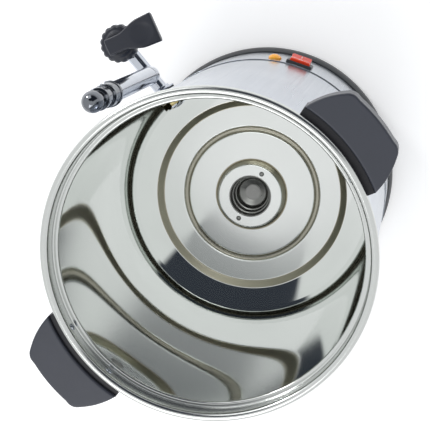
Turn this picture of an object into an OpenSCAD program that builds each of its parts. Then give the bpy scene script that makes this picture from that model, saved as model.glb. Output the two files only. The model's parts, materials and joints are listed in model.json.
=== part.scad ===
// Electric drinks urn: a polished steel bowl in a steel jacket on a heated base,
// with two side handles, a lever tap, a sight gauge and a rocker switch.
// Millimetres. Origin at the centre of the bottom, +Z up, tap towards -Y, handles on the X axis.

/* [Body] */
// Outside radius of the rolled rim
rim_r = 147; // [120:1:175]
// Height of the rolled rim above the table
urn_h = 460; // [380:5:540]
// Height of the bowl's floor above the table
floor_z = 157; // [145:1:180]
// Thickness of the steel sheet
sheet_t = 0.8; // [0.6:0.1:1.0]
// Section radius of the rolled rim
bead_r = 3.8; // [2.4:0.1:4.2]
// Depth of the collar that the lid drops into
collar_h = 17; // [12:1:24]
// Width of the ledge inside the collar
ledge_w = 5.1; // [4:0.1:7]

/* [Base] */
// Height of the seam between the jacket and the skirt
seam_z = 119; // [108:1:125]
// Height of the black base ring
ring_h = 21; // [18:1:28]
// How far the base ring stands out past the skirt
ring_flare = 4.3; // [3:0.1:7]
// Thickness of the rubber ring that the urn stands on
foot_t = 2; // [1.5:0.5:3]

/* [Bowl floor] */
// Outside radius of the sloped step
step_r = 102; // [98:1:108]
// Outside radius of the pressed groove
groove_r = 73.7; // [70:0.5:78]
// Radius of the raised boss at its foot
boss_r = 37.4; // [35:0.2:40]
// Height of the boss above the floor around it
boss_h = 12; // [9:0.5:14]
// Radius of the pump well at its mouth
well_r = 21; // [18:0.5:23]

/* [Handles] */
// Width of a handle at its root
handle_w = 93; // [80:1:104]
// Distance from the urn's axis to the handle's outer edge
handle_reach = 187; // [178:1:200]
// Height of a grip from its lower lip to its top
grip_h = 28; // [24:1:36]

/* [Tap] */
// Height of the tap's shank above the table
tap_z = 167; // [165:0.5:172]
// Distance from the urn's axis to the tap's stem
tap_y = 211; // [206:1:222]
// Radius of the shank
shank_r = 7.5; // [7:0.1:8]
// Radius of the scalloped bonnet
bonnet_r = 20; // [19:0.5:22]
// Direction of the lever, counted from +X
lever_angle = 164; // [140:1:300]
// Length of the lever from the stem to its wide end
lever_l = 47; // [40:1:50]
// Width of the lever's wide end
lever_w = 32; // [28:1:34]
// Radius of the stem
stem_r = 3; // [2.6:0.1:3.4]
// Radius of the lever's pin
pin_r = 1.5; // [1.2:0.1:1.8]
// Gap around each turning or sliding pin
fit_gap = 0.05; // [0.02:0.01:0.08]

/* [Sight gauge] */
// Distance from the urn's axis to the gauge's axis
gauge_y = 166; // [162:1:170]
// Outside radius of the gauge's shield
shield_r = 10; // [9.5:0.1:11]
// Height of the centre of the gauge's ball cap
ball_z = 418; // [360:2:440]
// Radius of the ball cap
ball_r = 10; // [9:0.5:12]

/* [Controls] */
// Height of the switch and the lamp above the table
panel_z = 95; // [85:1:98]
// Direction of the switch, counted from +X
switch_angle = -148.5; // [-160:0.1:-145]
// Direction of the lamp, counted from +X
lamp_angle = -137.3; // [-140:0.1:-125]
// Width of the rocker
rocker_w = 22; // [20:0.5:24]
// Height of the rocker
rocker_h = 17.8; // [16:0.2:20]
// Angle of the rocker to either side of level
rocker_tilt = 12; // [8:0.5:13]
// Height of the power inlet above the table
inlet_z = 48; // [38:1:80]

/* [Hidden] */
$fn = 96;

// A hair of extra length so that a cut clears the face it passes through
cut = 1;
// Gap between still pieces that lie against each other on a curve
lie_gap = 0.1;

// Rim, collar and bowl
bead_c = [rim_r - bead_r, urn_h - bead_r];
collar_r = rim_r - 2 * bead_r;
ledge_z = urn_h - collar_h;
bowl_r = collar_r - ledge_w;
ledge_round = 2;
foot_of_wall_z = floor_z - 10;

// Jacket and skirt
jacket_in_r = collar_r + sheet_t + lie_gap;
jacket_r = jacket_in_r + sheet_t;
jacket_top_z = urn_h - 2 * bead_r;
seam_gap = 0.8;
skirt_in_r = jacket_r + lie_gap;
skirt_r = skirt_in_r + sheet_t;
skirt_foot_z = foot_t + 6;

// Base
ring_r = skirt_r + ring_flare;
plate_z = foot_t + 2;
plate_t = 1.2;
plate_r = skirt_r - 4.4;
lip_in_r = plate_r - 7;
plate_screw_r = 1.9;

// Floor heights, all counted from the outer annulus
step_slope_w = 6.5;
step_drop = 5;
groove_w = 5.5;
groove_d = 1.8;
boss_foot_z = floor_z - step_drop + 1.4;
boss_top_z = boss_foot_z + boss_h;
boss_hole_r = well_r + 1.3;
well_wall = 1.2;
well_steps = [[well_r, 8.7], [well_r - 2.2, 9], [well_r - 4.2, 5.5]];
well_dish = 4;
rivet_ring_r = 27;
rivet_r = 1.6;
rivet_angle = 23;

// Heater
heater_r = 64;
heater_z = floor_z - 14;
element_ring_r = 50;
element_r = 4;
clamp_t = 1.6;
clamp_z = heater_z - 2 * element_r - clamp_t;
stud_r = 2.5;
stud_ring_r = 38;
thermostat_ring_r = 84;
thermostat_r = 8.5;

// Handle screws and handles
screw_z = urn_h - 10.5;
screw_angle = 10.5;
handle_screw_r = 2;
screw_head_r = 3.4;
handle_top_z = urn_h - 5;
neck_top_z = handle_top_z - 3.5;
neck_t = 13;
neck_r = jacket_r + neck_t;
neck_h = 33;
grip_wall = 5.5;
grip_roof = 6;
corner_r = 11;

// Tap
chamber_r = 11;
body_r = 13.5;
seat_z = tap_z - 7;
seat_hole_r = 5.5;
neck_z = tap_z + 15;
spout_r = 9.5;
spout_bore_r = 7;
spout_z = tap_z - 48;
bonnet_z = tap_z + shank_r + lie_gap;
bonnet_top_z = tap_z + 24;
bonnet_lobes = 16;
lobe_r = 2.6;
washer_r = 11;
washer_t = 1.3;
washer_z = bonnet_top_z;
stem_collar_z = tap_z + 3;
stem_collar_t = 1.5;
spring_top_z = bonnet_top_z - 4;
spring_r = 5.5;
spring_wire_r = 0.6;
spring_turns = 4;
pin_z = washer_z + washer_t + 6;
heel_gap = 0.3;
heel_z = washer_z + washer_t + heel_gap;
heel_l = 10;
lever_slot_w = 2 * stem_r + 0.6;
lever_neck_w = 17.5;
lever_back = 9.6;
flange_r = 14;
gasket_t = 2.2;
nut_t = 6;
// Where a flat washer inside the bowl meets the curved wall
inner_face = bowl_r - 0.5;

// Gauge
glass_r = 6;
glass_wall = 1.2;
tee_top_z = tap_z + 13;
shield_top_z = ball_z - 68;
seal_r = 8;

// Controls
bezel_w = rocker_w + 7;
bezel_h = rocker_h + 7.2;
bezel_front = skirt_r + 2.2;
housing_w = rocker_w + 4.6;
housing_h = rocker_h + 3.8;
housing_depth = 24;
rocker_axis_x = skirt_r - 0.5;
rocker_front = 8;
rocker_dish = 1.8;
trunnion_r = 1.5;
inlet_w = 28;
inlet_h = 21;

// Points along an arc about c
function arc(c, r, a0, a1, n = 8) =
    [for (i = [0:n]) let (a = a0 + (a1 - a0) * i / n) [c[0] + r * cos(a), c[1] + r * sin(a)]];

// Points from p to q along a shallow curve that bulges by h to the right of the way
function bulge(p, q, h, n = 8) =
    let (d = q - p, side = [d[1], -d[0]] / norm(d))
    [for (i = [0:n]) let (t = i / n) p + d * t + side * 4 * h * t * (1 - t)];

// A vertical sheet ring or tube
module ring(r_in, r_out, z0, z1) {
    rotate_extrude() translate([r_in, z0]) square([r_out - r_in, z1 - z0]);
}

// A round bar along +X from x0 to x1
module bar_x(r, x0, x1) {
    translate([x0, 0, 0]) rotate([0, 90, 0]) cylinder(r = r, h = x1 - x0);
}

// A round bar along Y between two places
module bar_y(r, y0, y1) {
    translate([0, y1, 0]) rotate([90, 0, 0]) cylinder(r = r, h = y1 - y0);
}

// Puts its children on the control panel, local +X pointing outwards
module on_panel(angle, z = panel_z) {
    rotate([0, 0, angle]) translate([0, 0, z]) children();
}

// Puts its children at each handle screw, local +X pointing outwards
module at_handle_screws() {
    for (side = [0, 180], a = [-screw_angle, screw_angle])
        rotate([0, 0, side + a]) translate([0, 0, screw_z]) children();
}

// ---- Bowl ----

module bowl_wall() {
    color([0.86, 0.87, 0.85]) difference() {
        rotate_extrude() {
            difference() {
                translate(bead_c) circle(bead_r);
                translate(bead_c) circle(bead_r - sheet_t);
                translate([bead_c[0] - 0.4, bead_c[1] - bead_r - cut]) square([1.6, bead_r]);
            }
            translate([collar_r, ledge_z - sheet_t])
                square([sheet_t, bead_c[1] - ledge_z + sheet_t]);
            translate([bowl_r + ledge_round, ledge_z - sheet_t])
                square([ledge_w - ledge_round + sheet_t / 2, sheet_t]);
            intersection() {
                difference() {
                    translate([bowl_r + ledge_round, ledge_z - ledge_round]) circle(ledge_round);
                    translate([bowl_r + ledge_round, ledge_z - ledge_round])
                        circle(ledge_round - sheet_t);
                }
                translate([bowl_r, ledge_z - ledge_round]) square(ledge_round);
            }
            translate([bowl_r, foot_of_wall_z])
                square([sheet_t, ledge_z - ledge_round - foot_of_wall_z]);
        }
        at_handle_screws() bar_x(handle_screw_r + lie_gap, collar_r - cut, rim_r);
        translate([0, 0, tap_z]) bar_y(shank_r + lie_gap, -rim_r, -bowl_r + 5);
    }
}

module bowl_floor() {
    rim = bowl_r - lie_gap;
    low = floor_z - step_drop;
    top = [
        [rim, foot_of_wall_z], [rim, floor_z - 6], [rim - 2, floor_z - 4.8], [rim - 3.8, floor_z - 2.4],
        [rim - 6, floor_z - 1.3], [step_r, floor_z], [step_r - step_slope_w, low],
        [groove_r, low + 0.2], [groove_r - 1.2, low + 0.2 - groove_d],
        [groove_r - groove_w, low + 0.2 - groove_d], [groove_r - groove_w - 1.2, low + 1],
        [boss_r, boss_foot_z], [boss_r - 5.5, boss_foot_z]
    ];
    under = [
        for (i = [len(top) - 1:-1:0])
            top[i] - [i < 5 ? sheet_t : 0, i == 0 ? 0 : sheet_t]
    ];
    color([0.84, 0.86, 0.82]) rotate_extrude() polygon(concat(top, under));
}

module boss_cap() {
    t = 1;
    color([0.8, 0.82, 0.8]) difference() {
        rotate_extrude() polygon([
            [boss_r, boss_foot_z], [boss_r - 3.4, boss_top_z - t], [boss_r - 4.4, boss_top_z],
            [boss_hole_r, boss_top_z], [boss_hole_r, boss_top_z - t], [boss_r - 4.8, boss_top_z - t],
            [boss_r - 1.1, boss_foot_z]
        ]);
        for (a = [0, 180]) rotate([0, 0, rivet_angle + a])
            translate([rivet_ring_r, 0, boss_top_z - 2 * t]) cylinder(r = rivet_r + lie_gap, h = 3 * t);
    }
}

module pump_well() {
    top = boss_top_z;
    z1 = top - well_steps[0][1];
    z2 = z1 - well_steps[1][1];
    z3 = z2 - well_steps[2][1];
    dish_r = (pow(well_steps[2][0], 2) + pow(well_dish, 2)) / (2 * well_dish);
    dish_a = asin(well_steps[2][0] / dish_r);
    dish = arc([0, z3 - well_dish + dish_r], dish_r, -90, -90 + dish_a);
    color([0.55, 0.56, 0.57]) difference() {
        rotate_extrude() polygon(concat(
            dish,
            [
                [well_steps[2][0], z2], [well_steps[1][0], z2], [well_steps[1][0], z1],
                [well_steps[0][0], z1], [well_steps[0][0], top], [well_r + well_wall, top],
                [well_r + well_wall, top - 1], [rivet_ring_r + 3, top - 1], [rivet_ring_r + 3, top - 2],
                [well_r + well_wall, top - 2], [well_r + well_wall, z1 - well_wall],
                [well_steps[1][0] + well_wall, z1 - well_wall],
                [well_steps[1][0] + well_wall, z2 - well_wall],
                [well_steps[2][0] + well_wall, z2 - well_wall],
                [well_steps[2][0] + well_wall, z3], [well_steps[2][0], z3 - well_dish - well_wall],
                [0, z3 - well_dish - well_wall]
            ]
        ));
        for (a = [0, 180]) rotate([0, 0, rivet_angle + a])
            translate([rivet_ring_r, 0, top - 3]) cylinder(r = rivet_r + lie_gap, h = 3);
    }
}

module boss_rivets() {
    color([0.5, 0.5, 0.5]) for (a = [0, 180]) rotate([0, 0, rivet_angle + a])
        translate([rivet_ring_r, 0, boss_top_z]) {
            translate([0, 0, -3]) cylinder(r = rivet_r, h = 3.4);
            cylinder(r1 = 2.6, r2 = 2.1, h = 0.9);
            translate([0, 0, -3]) cylinder(r = 2.6, h = 1);
        }
}

// ---- Shell and base ----

module outer_jacket() {
    color([0.72, 0.75, 0.79]) difference() {
        ring(jacket_in_r, jacket_r, seam_z + seam_gap / 2, jacket_top_z);
        at_handle_screws() bar_x(handle_screw_r + lie_gap, collar_r, rim_r);
        translate([0, 0, tap_z]) bar_y(shank_r + lie_gap, -rim_r, -bowl_r);
    }
}

module waist_ring() {
    in_r = jacket_in_r - lie_gap - 1;
    color([0.12, 0.12, 0.13]) rotate_extrude() polygon([
        [in_r, seam_z - 12], [skirt_in_r - lie_gap, seam_z - 12],
        [skirt_in_r - lie_gap, seam_z - seam_gap / 2], [jacket_r + 0.3, seam_z - seam_gap / 2],
        [jacket_r + 0.3, seam_z + seam_gap / 2], [jacket_in_r - lie_gap, seam_z + seam_gap / 2],
        [jacket_in_r - lie_gap, seam_z + 12], [in_r, seam_z + 12]
    ]);
}

module base_skirt() {
    color([0.74, 0.77, 0.81]) difference() {
        ring(skirt_in_r, skirt_r, skirt_foot_z, seam_z - seam_gap / 2);
        on_panel(switch_angle) translate([skirt_r, 0, 0])
            cube([12, housing_w + 0.4, housing_h + 0.4], center = true);
        on_panel(lamp_angle) bar_x(6.1, skirt_in_r - 4, skirt_r + 4);
        on_panel(90, inlet_z) translate([skirt_r, 0, 0])
            cube([12, inlet_w + 0.4, inlet_h + 0.4], center = true);
    }
}

module base_ring() {
    color([0.13, 0.13, 0.14]) difference() {
        rotate_extrude() polygon([
            [lip_in_r, foot_t], [ring_r - 1.2, foot_t], [ring_r, foot_t + 1.5], [ring_r, ring_h * 0.45],
            [ring_r - 1.2, ring_h * 0.7], [skirt_r + 1.1, ring_h - 1], [skirt_r + 0.3, ring_h],
            [skirt_r, ring_h], [skirt_r, skirt_foot_z], [plate_r + 0.4, skirt_foot_z],
            [plate_r + 0.4, plate_z], [lip_in_r, plate_z]
        ]);
        at_plate_screws() cylinder(r = plate_screw_r + lie_gap, h = 20, center = true);
        at_plate_screws() translate([0, 0, -foot_t]) cylinder(r = 3.7, h = foot_t + 0.8);
    }
}

// A moulded ring of rubber on the underside, outside the screws
module foot_ring() {
    color([0.1, 0.1, 0.1]) ring(plate_r + 1.5, ring_r - 2, 0, foot_t);
}

// Puts its children on each plate screw, at the underside of the base ring
module at_plate_screws() {
    for (a = [0:90:270])
        rotate([0, 0, a]) translate([(plate_r + lip_in_r) / 2, 0, foot_t]) children();
}

module base_plate() {
    slot_l = 26;
    color([0.6, 0.61, 0.62]) difference() {
        translate([0, 0, plate_z]) cylinder(r = plate_r, h = plate_t);
        at_plate_screws() cylinder(r = plate_screw_r + lie_gap, h = 20, center = true);
        for (a = [15:30:345]) rotate([0, 0, a])
            translate([88, 0, plate_z]) cube([slot_l, 4, 4 * plate_t], center = true);
    }
}

module plate_screws() {
    color([0.65, 0.66, 0.67]) at_plate_screws() {
        cylinder(r = plate_screw_r, h = 6);
        translate([0, 0, -0.6]) cylinder(r = 3.4, h = 1.4);
    }
}

// ---- Heating ----

module heater_plate() {
    color([0.75, 0.76, 0.77]) rotate_extrude() polygon([
        [well_r + 3.2, heater_z], [heater_r, heater_z], [heater_r, floor_z - step_drop + 0.1],
        [boss_r + 0.2, boss_foot_z - 1.1], [well_r + 3.2, boss_foot_z - 1.1]
    ]);
}

module heater_element() {
    mid_z = heater_z - element_r;
    color([0.35, 0.33, 0.32]) {
        rotate([0, 0, 110]) rotate_extrude(angle = 320)
            translate([element_ring_r, mid_z]) circle(element_r);
        for (a = [110, 70]) rotate([0, 0, a]) translate([element_ring_r, 0, 0]) {
            translate([0, 0, heater_z - 30]) cylinder(r = element_r + 0.6, h = 30);
            translate([0, 0, heater_z - 42]) cylinder(r = 1.4, h = 13);
        }
    }
}

// Puts its children on each heater stud
module at_studs() {
    for (a = [30:120:270]) rotate([0, 0, a]) translate([stud_ring_r, 0, 0]) children();
}

// A pressed ring that holds the element up against the heater plate
module heater_clamp() {
    color([0.6, 0.61, 0.63]) difference() {
        ring(30, 59, clamp_z, clamp_z + clamp_t);
        at_studs() translate([0, 0, clamp_z]) cylinder(r = stud_r + lie_gap, h = 10, center = true);
        for (a = [110, 70]) rotate([0, 0, a]) translate([element_ring_r, 0, clamp_z])
            cylinder(r = element_r + 1.5, h = 10, center = true);
    }
}

module heater_nuts() {
    color([0.7, 0.71, 0.72]) at_studs() {
        translate([0, 0, clamp_z - 8]) cylinder(r = stud_r, h = heater_z - clamp_z + 8);
        translate([0, 0, clamp_z - 4]) cylinder(r = 4.6, h = 4, $fn = 6);
    }
}

// A round thermostat in its cup, with two tabs
module thermostat(angle) {
    top = floor_z - step_drop - sheet_t - lie_gap;
    rotate([0, 0, angle]) translate([thermostat_ring_r, 0, 0]) {
        translate([0, 0, top - 4]) cylinder(r = thermostat_r, h = 4);
        translate([0, 0, top - 12]) cylinder(r = thermostat_r - 1, h = 8);
        for (y = [-4, 4]) translate([-3, y - 0.4, top - 20]) cube([6, 0.8, 9]);
    }
}

module boil_thermostat() {
    color([0.25, 0.2, 0.16]) thermostat(-60);
}

module cutoff_thermostat() {
    color([0.75, 0.73, 0.68]) thermostat(150);
}

module terminal_block() {
    size = [44, 18, 16];
    color([0.9, 0.89, 0.85]) translate([0, 70, plate_z + plate_t + size[2] / 2]) difference() {
        cube(size, center = true);
        for (x = [-15, 0, 15]) translate([x, 0, 0]) bar_y(2.2, -size[1], size[1]);
    }
}

// ---- Switch, lamp and inlet ----

// A flat frame that sits on the outside of the curved skirt
module curved_bezel(w, h, front) {
    difference() {
        translate([skirt_r - 6, -w / 2, -h / 2]) cube([front - skirt_r + 6, w, h]);
        translate([0, 0, -h]) cylinder(r = skirt_r, h = 2 * h);
    }
}

module switch_housing() {
    mouth_w = rocker_w + 0.4;
    mouth_h = rocker_h + 2.4;
    color([0.1, 0.1, 0.11]) on_panel(switch_angle) difference() {
        union() {
            curved_bezel(bezel_w, bezel_h, bezel_front);
            translate([skirt_r - housing_depth, -housing_w / 2, -housing_h / 2])
                cube([housing_depth + 1, housing_w, housing_h]);
        }
        translate([skirt_r - 11, -mouth_w / 2, -mouth_h / 2]) cube([20, mouth_w, mouth_h]);
        translate([rocker_axis_x, 0, 0])
            bar_y(trunnion_r + fit_gap, -rocker_w / 2 - 1.4, rocker_w / 2 + 1.4);
    }
}

module switch_rocker() {
    half = rocker_h / 2;
    color([0.85, 0.2, 0.1]) on_panel(switch_angle) translate([rocker_axis_x, 0, 0])
        rotate([0, -rocker_tilt, 0]) {
            rotate([90, 0, 0]) linear_extrude(rocker_w, center = true) polygon([
                [-6, -half + 1.6], [rocker_front, -half], [rocker_front - rocker_dish, 0],
                [rocker_front, half], [-6, half - 1.6]
            ]);
            bar_y(trunnion_r, -rocker_w / 2 - 1.1, rocker_w / 2 + 1.1);
        }
}

module lamp_lens() {
    r = 7.2;
    band = 1.3;
    dome_h = 3.6;
    dome_r = (r * r + dome_h * dome_h) / (2 * dome_h);
    dome = arc([0, band + dome_h - dome_r], dome_r, asin(1 - dome_h / dome_r), 90);
    color([0.95, 0.5, 0.1]) on_panel(lamp_angle) translate([skirt_r, 0, 0]) rotate([0, 90, 0])
        rotate_extrude() polygon(concat([[0, -4], [6, -4], [6, 0], [r, 0]], dome));
}

module lamp_body() {
    color([0.85, 0.84, 0.8]) on_panel(lamp_angle) difference() {
        bar_x(7, skirt_r - 18, skirt_in_r - 0.4);
        bar_x(6 + lie_gap, skirt_r - 4.2, skirt_r);
        bar_x(4, skirt_r - 15, skirt_r);
    }
}

module power_inlet() {
    depth = 18;
    color([0.1, 0.1, 0.11]) on_panel(90, inlet_z) difference() {
        union() {
            curved_bezel(inlet_w + 5, inlet_h + 5, skirt_r + 2.4);
            translate([skirt_r - depth, -inlet_w / 2, -inlet_h / 2])
                cube([depth + 1, inlet_w, inlet_h]);
        }
        translate([skirt_r - depth + 2.4, -inlet_w / 2 + 1.7, -inlet_h / 2 + 2.2])
            cube([depth + 4, inlet_w - 3.4, inlet_h - 4.4]);
        for (y = [-7, 0, 7]) translate([skirt_r - depth, y, y == 0 ? 2 : -1])
            cube([8, 2.1, 4.1], center = true);
    }
}

module inlet_blades() {
    color([0.75, 0.74, 0.68]) on_panel(90, inlet_z) for (y = [-7, 0, 7])
        translate([skirt_r - 16, y, y == 0 ? 2 : -1]) cube([20, 2, 4], center = true);
}

// ---- Handles ----

// The grip's outline seen from above, urn axis at the origin
function grip_outline() =
    let (
        w = handle_w / 2,
        edge = handle_reach - 1.6,
        corner = [edge - corner_r, w * 0.52],
        lower = concat(
            bulge([neck_r - 8, -w], corner + corner_r * [cos(62), -sin(62)] - [0, 2 * corner[1]], 2.2),
            arc([corner[0], -corner[1]], corner_r, -58, -8)
        )
    )
    concat(
        lower,
        bulge([edge, -corner[1] + 3], [edge, corner[1] - 3], 1.6),
        [for (i = [len(lower) - 1:-1:0]) [lower[i][0], -lower[i][1]]]
    );

// A hood-shaped grip on a neck that follows the jacket, with a pocket for the fingers beneath
module handle(side) {
    grip_z = handle_top_z - grip_h;
    pocket_w = handle_w * 0.56;
    color([0.16, 0.17, 0.2]) rotate([0, 0, side]) difference() {
        union() {
            difference() {
                translate([0, 0, grip_z]) linear_extrude(grip_h) polygon(grip_outline());
                translate([0, 0, grip_z - cut]) cylinder(r = neck_r - 0.6, h = grip_h + 2 * cut);
            }
            intersection() {
                ring(jacket_r + lie_gap, neck_r, neck_top_z - neck_h, neck_top_z);
                translate([neck_r, 0, neck_top_z])
                    cube([60, handle_w - 3, 4 * neck_h], center = true);
            }
        }
        translate([neck_r + 1, -pocket_w / 2, grip_z - cut])
            cube([handle_reach - neck_r - 1 - grip_wall - 1.6, pocket_w, grip_h - grip_roof + cut]);
        for (a = [-screw_angle, screw_angle]) rotate([0, 0, a])
            translate([0, 0, screw_z]) bar_x(handle_screw_r + lie_gap, jacket_r - cut, jacket_r + 16);
    }
}

module handle_right() {
    handle(0);
}

module handle_left() {
    handle(180);
}

module handle_screws() {
    color([0.8, 0.8, 0.78]) at_handle_screws() {
        bar_x(handle_screw_r, collar_r - 0.3, jacket_r + 14);
        translate([collar_r - 0.1, 0, 0]) rotate([0, -90, 0])
            cylinder(r1 = screw_head_r, r2 = screw_head_r - 1.2, h = 1.7);
    }
}

// ---- Tap ----

// Puts its children on the tap's stem axis
module on_tap() {
    translate([0, -tap_y, 0]) children();
}

// The shank with the tee that carries the sight gauge
module tap_shank() {
    flange_y = -jacket_r - gasket_t;
    color([0.82, 0.83, 0.84]) difference() {
        union() {
            translate([0, 0, tap_z]) {
                bar_y(shank_r, -tap_y + body_r - 1, -inner_face + gasket_t + nut_t + 1.5);
                bar_y(flange_r, flange_y - 2.5, flange_y);
                bar_y(shank_r + 2, flange_y - 5, flange_y - 2);
            }
            translate([0, -gauge_y, tap_z]) {
                sphere(shield_r + 0.3);
                cylinder(r = shield_r + 0.3, h = tee_top_z - tap_z);
            }
        }
        translate([0, 0, tap_z]) bar_y(4.5, -tap_y, -bowl_r + 20);
        translate([0, -gauge_y, tap_z]) cylinder(r = 4.5, h = 20);
        translate([0, -gauge_y, tap_z + 3]) cylinder(r = glass_r + lie_gap, h = 20);
        translate([0, -gauge_y, tee_top_z - 4]) cylinder(r = seal_r + lie_gap, h = 20);
        on_tap() translate([0, 0, tap_z - 30]) cylinder(r = body_r, h = 60);
    }
}

// A flat washer on the shank
module shank_washer(r, y0, y1) {
    translate([0, 0, tap_z]) difference() {
        bar_y(r, y0, y1);
        bar_y(shank_r + lie_gap, -tap_y, 0);
    }
}

module outer_gasket() {
    color([0.15, 0.15, 0.15]) shank_washer(flange_r - 1, -jacket_r - gasket_t, -jacket_r - lie_gap);
}

module inner_gasket() {
    color([0.75, 0.68, 0.5]) shank_washer(10.2, -inner_face, -inner_face + gasket_t);
}

module shank_nut() {
    across_flats = 20;
    color([0.78, 0.72, 0.5]) translate([0, 0, tap_z]) difference() {
        translate([0, -inner_face + gasket_t + nut_t, 0]) rotate([90, 0, 0])
            rotate([0, 0, 30]) cylinder(d = across_flats / cos(30), h = nut_t, $fn = 6);
        bar_y(shank_r + lie_gap, -tap_y, 0);
    }
}

module tap_body() {
    color([0.82, 0.83, 0.84]) difference() {
        union() {
            on_tap() translate([0, 0, seat_z - 8]) cylinder(r = body_r, h = neck_z - seat_z + 8);
            on_tap() translate([0, 0, spout_z]) cylinder(r = spout_r, h = seat_z - spout_z);
            on_tap() translate([0, 0, seat_z - 14]) cylinder(r1 = spout_r, r2 = body_r, h = 6);
            on_tap() translate([0, 0, spout_z]) cylinder(r = spout_r + 1.2, h = 3);
        }
        on_tap() translate([0, 0, seat_z]) cylinder(r = chamber_r, h = neck_z);
        on_tap() translate([0, 0, seat_z - 4]) cylinder(r = seat_hole_r, h = 10);
        on_tap() translate([0, 0, spout_z - cut]) cylinder(r = spout_bore_r, h = seat_z - 3 - spout_z + cut);
        translate([0, 0, tap_z]) bar_y(4.5, -tap_y, -tap_y + body_r + cut);
    }
}

module tap_bonnet() {
    skirt_h = 14;
    color([0.09, 0.09, 0.1]) on_tap() difference() {
        union() {
            translate([0, 0, bonnet_z]) cylinder(r = bonnet_r - 1.6, h = skirt_h);
            for (i = [0:bonnet_lobes - 1]) rotate([0, 0, i * 360 / bonnet_lobes])
                translate([bonnet_r - lobe_r, 0, bonnet_z]) cylinder(r = lobe_r, h = skirt_h - 1.5);
            translate([0, 0, bonnet_z]) cylinder(r = washer_r + 1, h = bonnet_top_z - bonnet_z);
        }
        translate([0, 0, bonnet_z - cut]) cylinder(r = body_r + lie_gap, h = neck_z - bonnet_z + 1 + cut);
        translate([0, 0, bonnet_z]) cylinder(r = 8, h = spring_top_z - bonnet_z);
        translate([0, 0, bonnet_z]) cylinder(r = stem_r + fit_gap, h = 30);
    }
}

module cam_washer() {
    color([0.8, 0.8, 0.8]) on_tap() translate([0, 0, washer_z + heel_gap / 10]) difference() {
        cylinder(r = washer_r, h = washer_t - heel_gap / 10);
        translate([0, 0, -cut]) cylinder(r = stem_r + fit_gap, h = 5);
    }
}

module tap_stem() {
    color([0.8, 0.78, 0.6]) on_tap() difference() {
        union() {
            translate([0, 0, seat_z + 3]) cylinder(r = stem_r, h = pin_z + 3.2 - seat_z - 3);
            translate([0, 0, stem_collar_z]) cylinder(r = 7.5, h = stem_collar_t);
        }
        translate([0, 0, pin_z]) rotate([0, 0, lever_angle]) bar_y(pin_r, -10, 10);
    }
}

module seat_cup() {
    color([0.85, 0.83, 0.78]) on_tap() difference() {
        translate([0, 0, seat_z + 0.05]) cylinder(r = 9, h = 7);
        translate([0, 0, seat_z + 3]) cylinder(r = stem_r, h = 10);
    }
}

// A coil of round wire, swept as rings of points along the helix
module tap_spring() {
    z0 = stem_collar_z + stem_collar_t + spring_wire_r;
    rise = spring_top_z - z0 - spring_wire_r;
    steps = 20 * spring_turns;
    sides = 8;
    points = [
        for (i = [0:steps], j = [0:sides - 1])
            let (
                a = 360 * spring_turns * i / steps,
                b = 360 * j / sides,
                r = spring_r + spring_wire_r * cos(b)
            )
            [r * cos(a), r * sin(a), z0 + rise * i / steps + spring_wire_r * sin(b)]
    ];
    walls = [
        for (i = [0:steps - 1], j = [0:sides - 1])
            let (k = (j + 1) % sides)
            [i * sides + j, (i + 1) * sides + j, (i + 1) * sides + k, i * sides + k]
    ];
    caps = [
        [for (j = [0:sides - 1]) j],
        [for (j = [sides - 1:-1:0]) steps * sides + j]
    ];
    color([0.7, 0.7, 0.7]) on_tap() polyhedron(points, concat(walls, caps));
}

module lever_pin() {
    color([0.8, 0.8, 0.8]) on_tap() translate([0, 0, pin_z]) rotate([0, 0, lever_angle])
        bar_y(pin_r, -lever_neck_w / 2 + 1, lever_neck_w / 2 - 1);
}

// Half of the lever's outline, from its narrow end to its wide end
function lever_half() =
    concat(
        [[-lever_back, lever_neck_w / 2 - 0.6]],
        bulge([-lever_back + 1, lever_neck_w / 2], [12, lever_neck_w / 2], 0.6, 6),
        bulge([18, lever_neck_w / 2 + 1.6], [lever_l - 2, lever_w / 2], -1.4, 8),
        arc([lever_l - 2, lever_w / 2 - 2], 2, 90, 0, 4)
    );

module tap_lever() {
    half = lever_half();
    back_to_front = [for (i = [len(half) - 1:-1:0]) [half[i][0], -half[i][1]]];
    top_z = heel_z + 13.4;
    color([0.1, 0.1, 0.12]) on_tap() rotate([0, 0, lever_angle]) difference() {
        intersection() {
            translate([0, 0, heel_z]) linear_extrude(20) polygon(concat(half, back_to_front));
            rotate([90, 0, 0]) linear_extrude(60, center = true) polygon([
                [-lever_back - 1, heel_z + 1.4], [-lever_back + 2, heel_z], [heel_l, heel_z],
                [heel_l + 3, heel_z + 2.8], [lever_l + 1, heel_z + 3.2], [lever_l + 1, top_z],
                [20, top_z - 0.6], [0, top_z - 1.6], [-lever_back - 1, top_z - 2.6]
            ]);
        }
        translate([-5.4, -lever_slot_w / 2, heel_z - cut]) cube([10.8, lever_slot_w, 10.6 + cut]);
        translate([0, 0, pin_z]) bar_y(pin_r + fit_gap, -lever_neck_w / 2 + 0.6, lever_neck_w / 2 - 0.6);
        translate([lever_l - 15, 0, top_z + 22.6]) sphere(24);
    }
}

// ---- Sight gauge ----

// Puts its children on the gauge's axis
module on_gauge() {
    translate([0, -gauge_y, 0]) children();
}

module gauge_glass() {
    color([0.8, 0.88, 0.9, 0.5]) on_gauge()
        ring(glass_r - glass_wall, glass_r, tap_z + 3.2, ball_z - 15);
}

module gauge_shield() {
    z0 = tee_top_z + 14;
    z1 = shield_top_z - 14;
    color([0.74, 0.77, 0.81]) on_gauge() difference() {
        ring(shield_r - 1.2, shield_r, tee_top_z, shield_top_z);
        for (z = [z0, z1]) translate([0, 0, z]) bar_y(3, -shield_r - cut, 0);
        translate([-3, -shield_r - cut, z0]) cube([6, shield_r + cut, z1 - z0]);
    }
}

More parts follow.
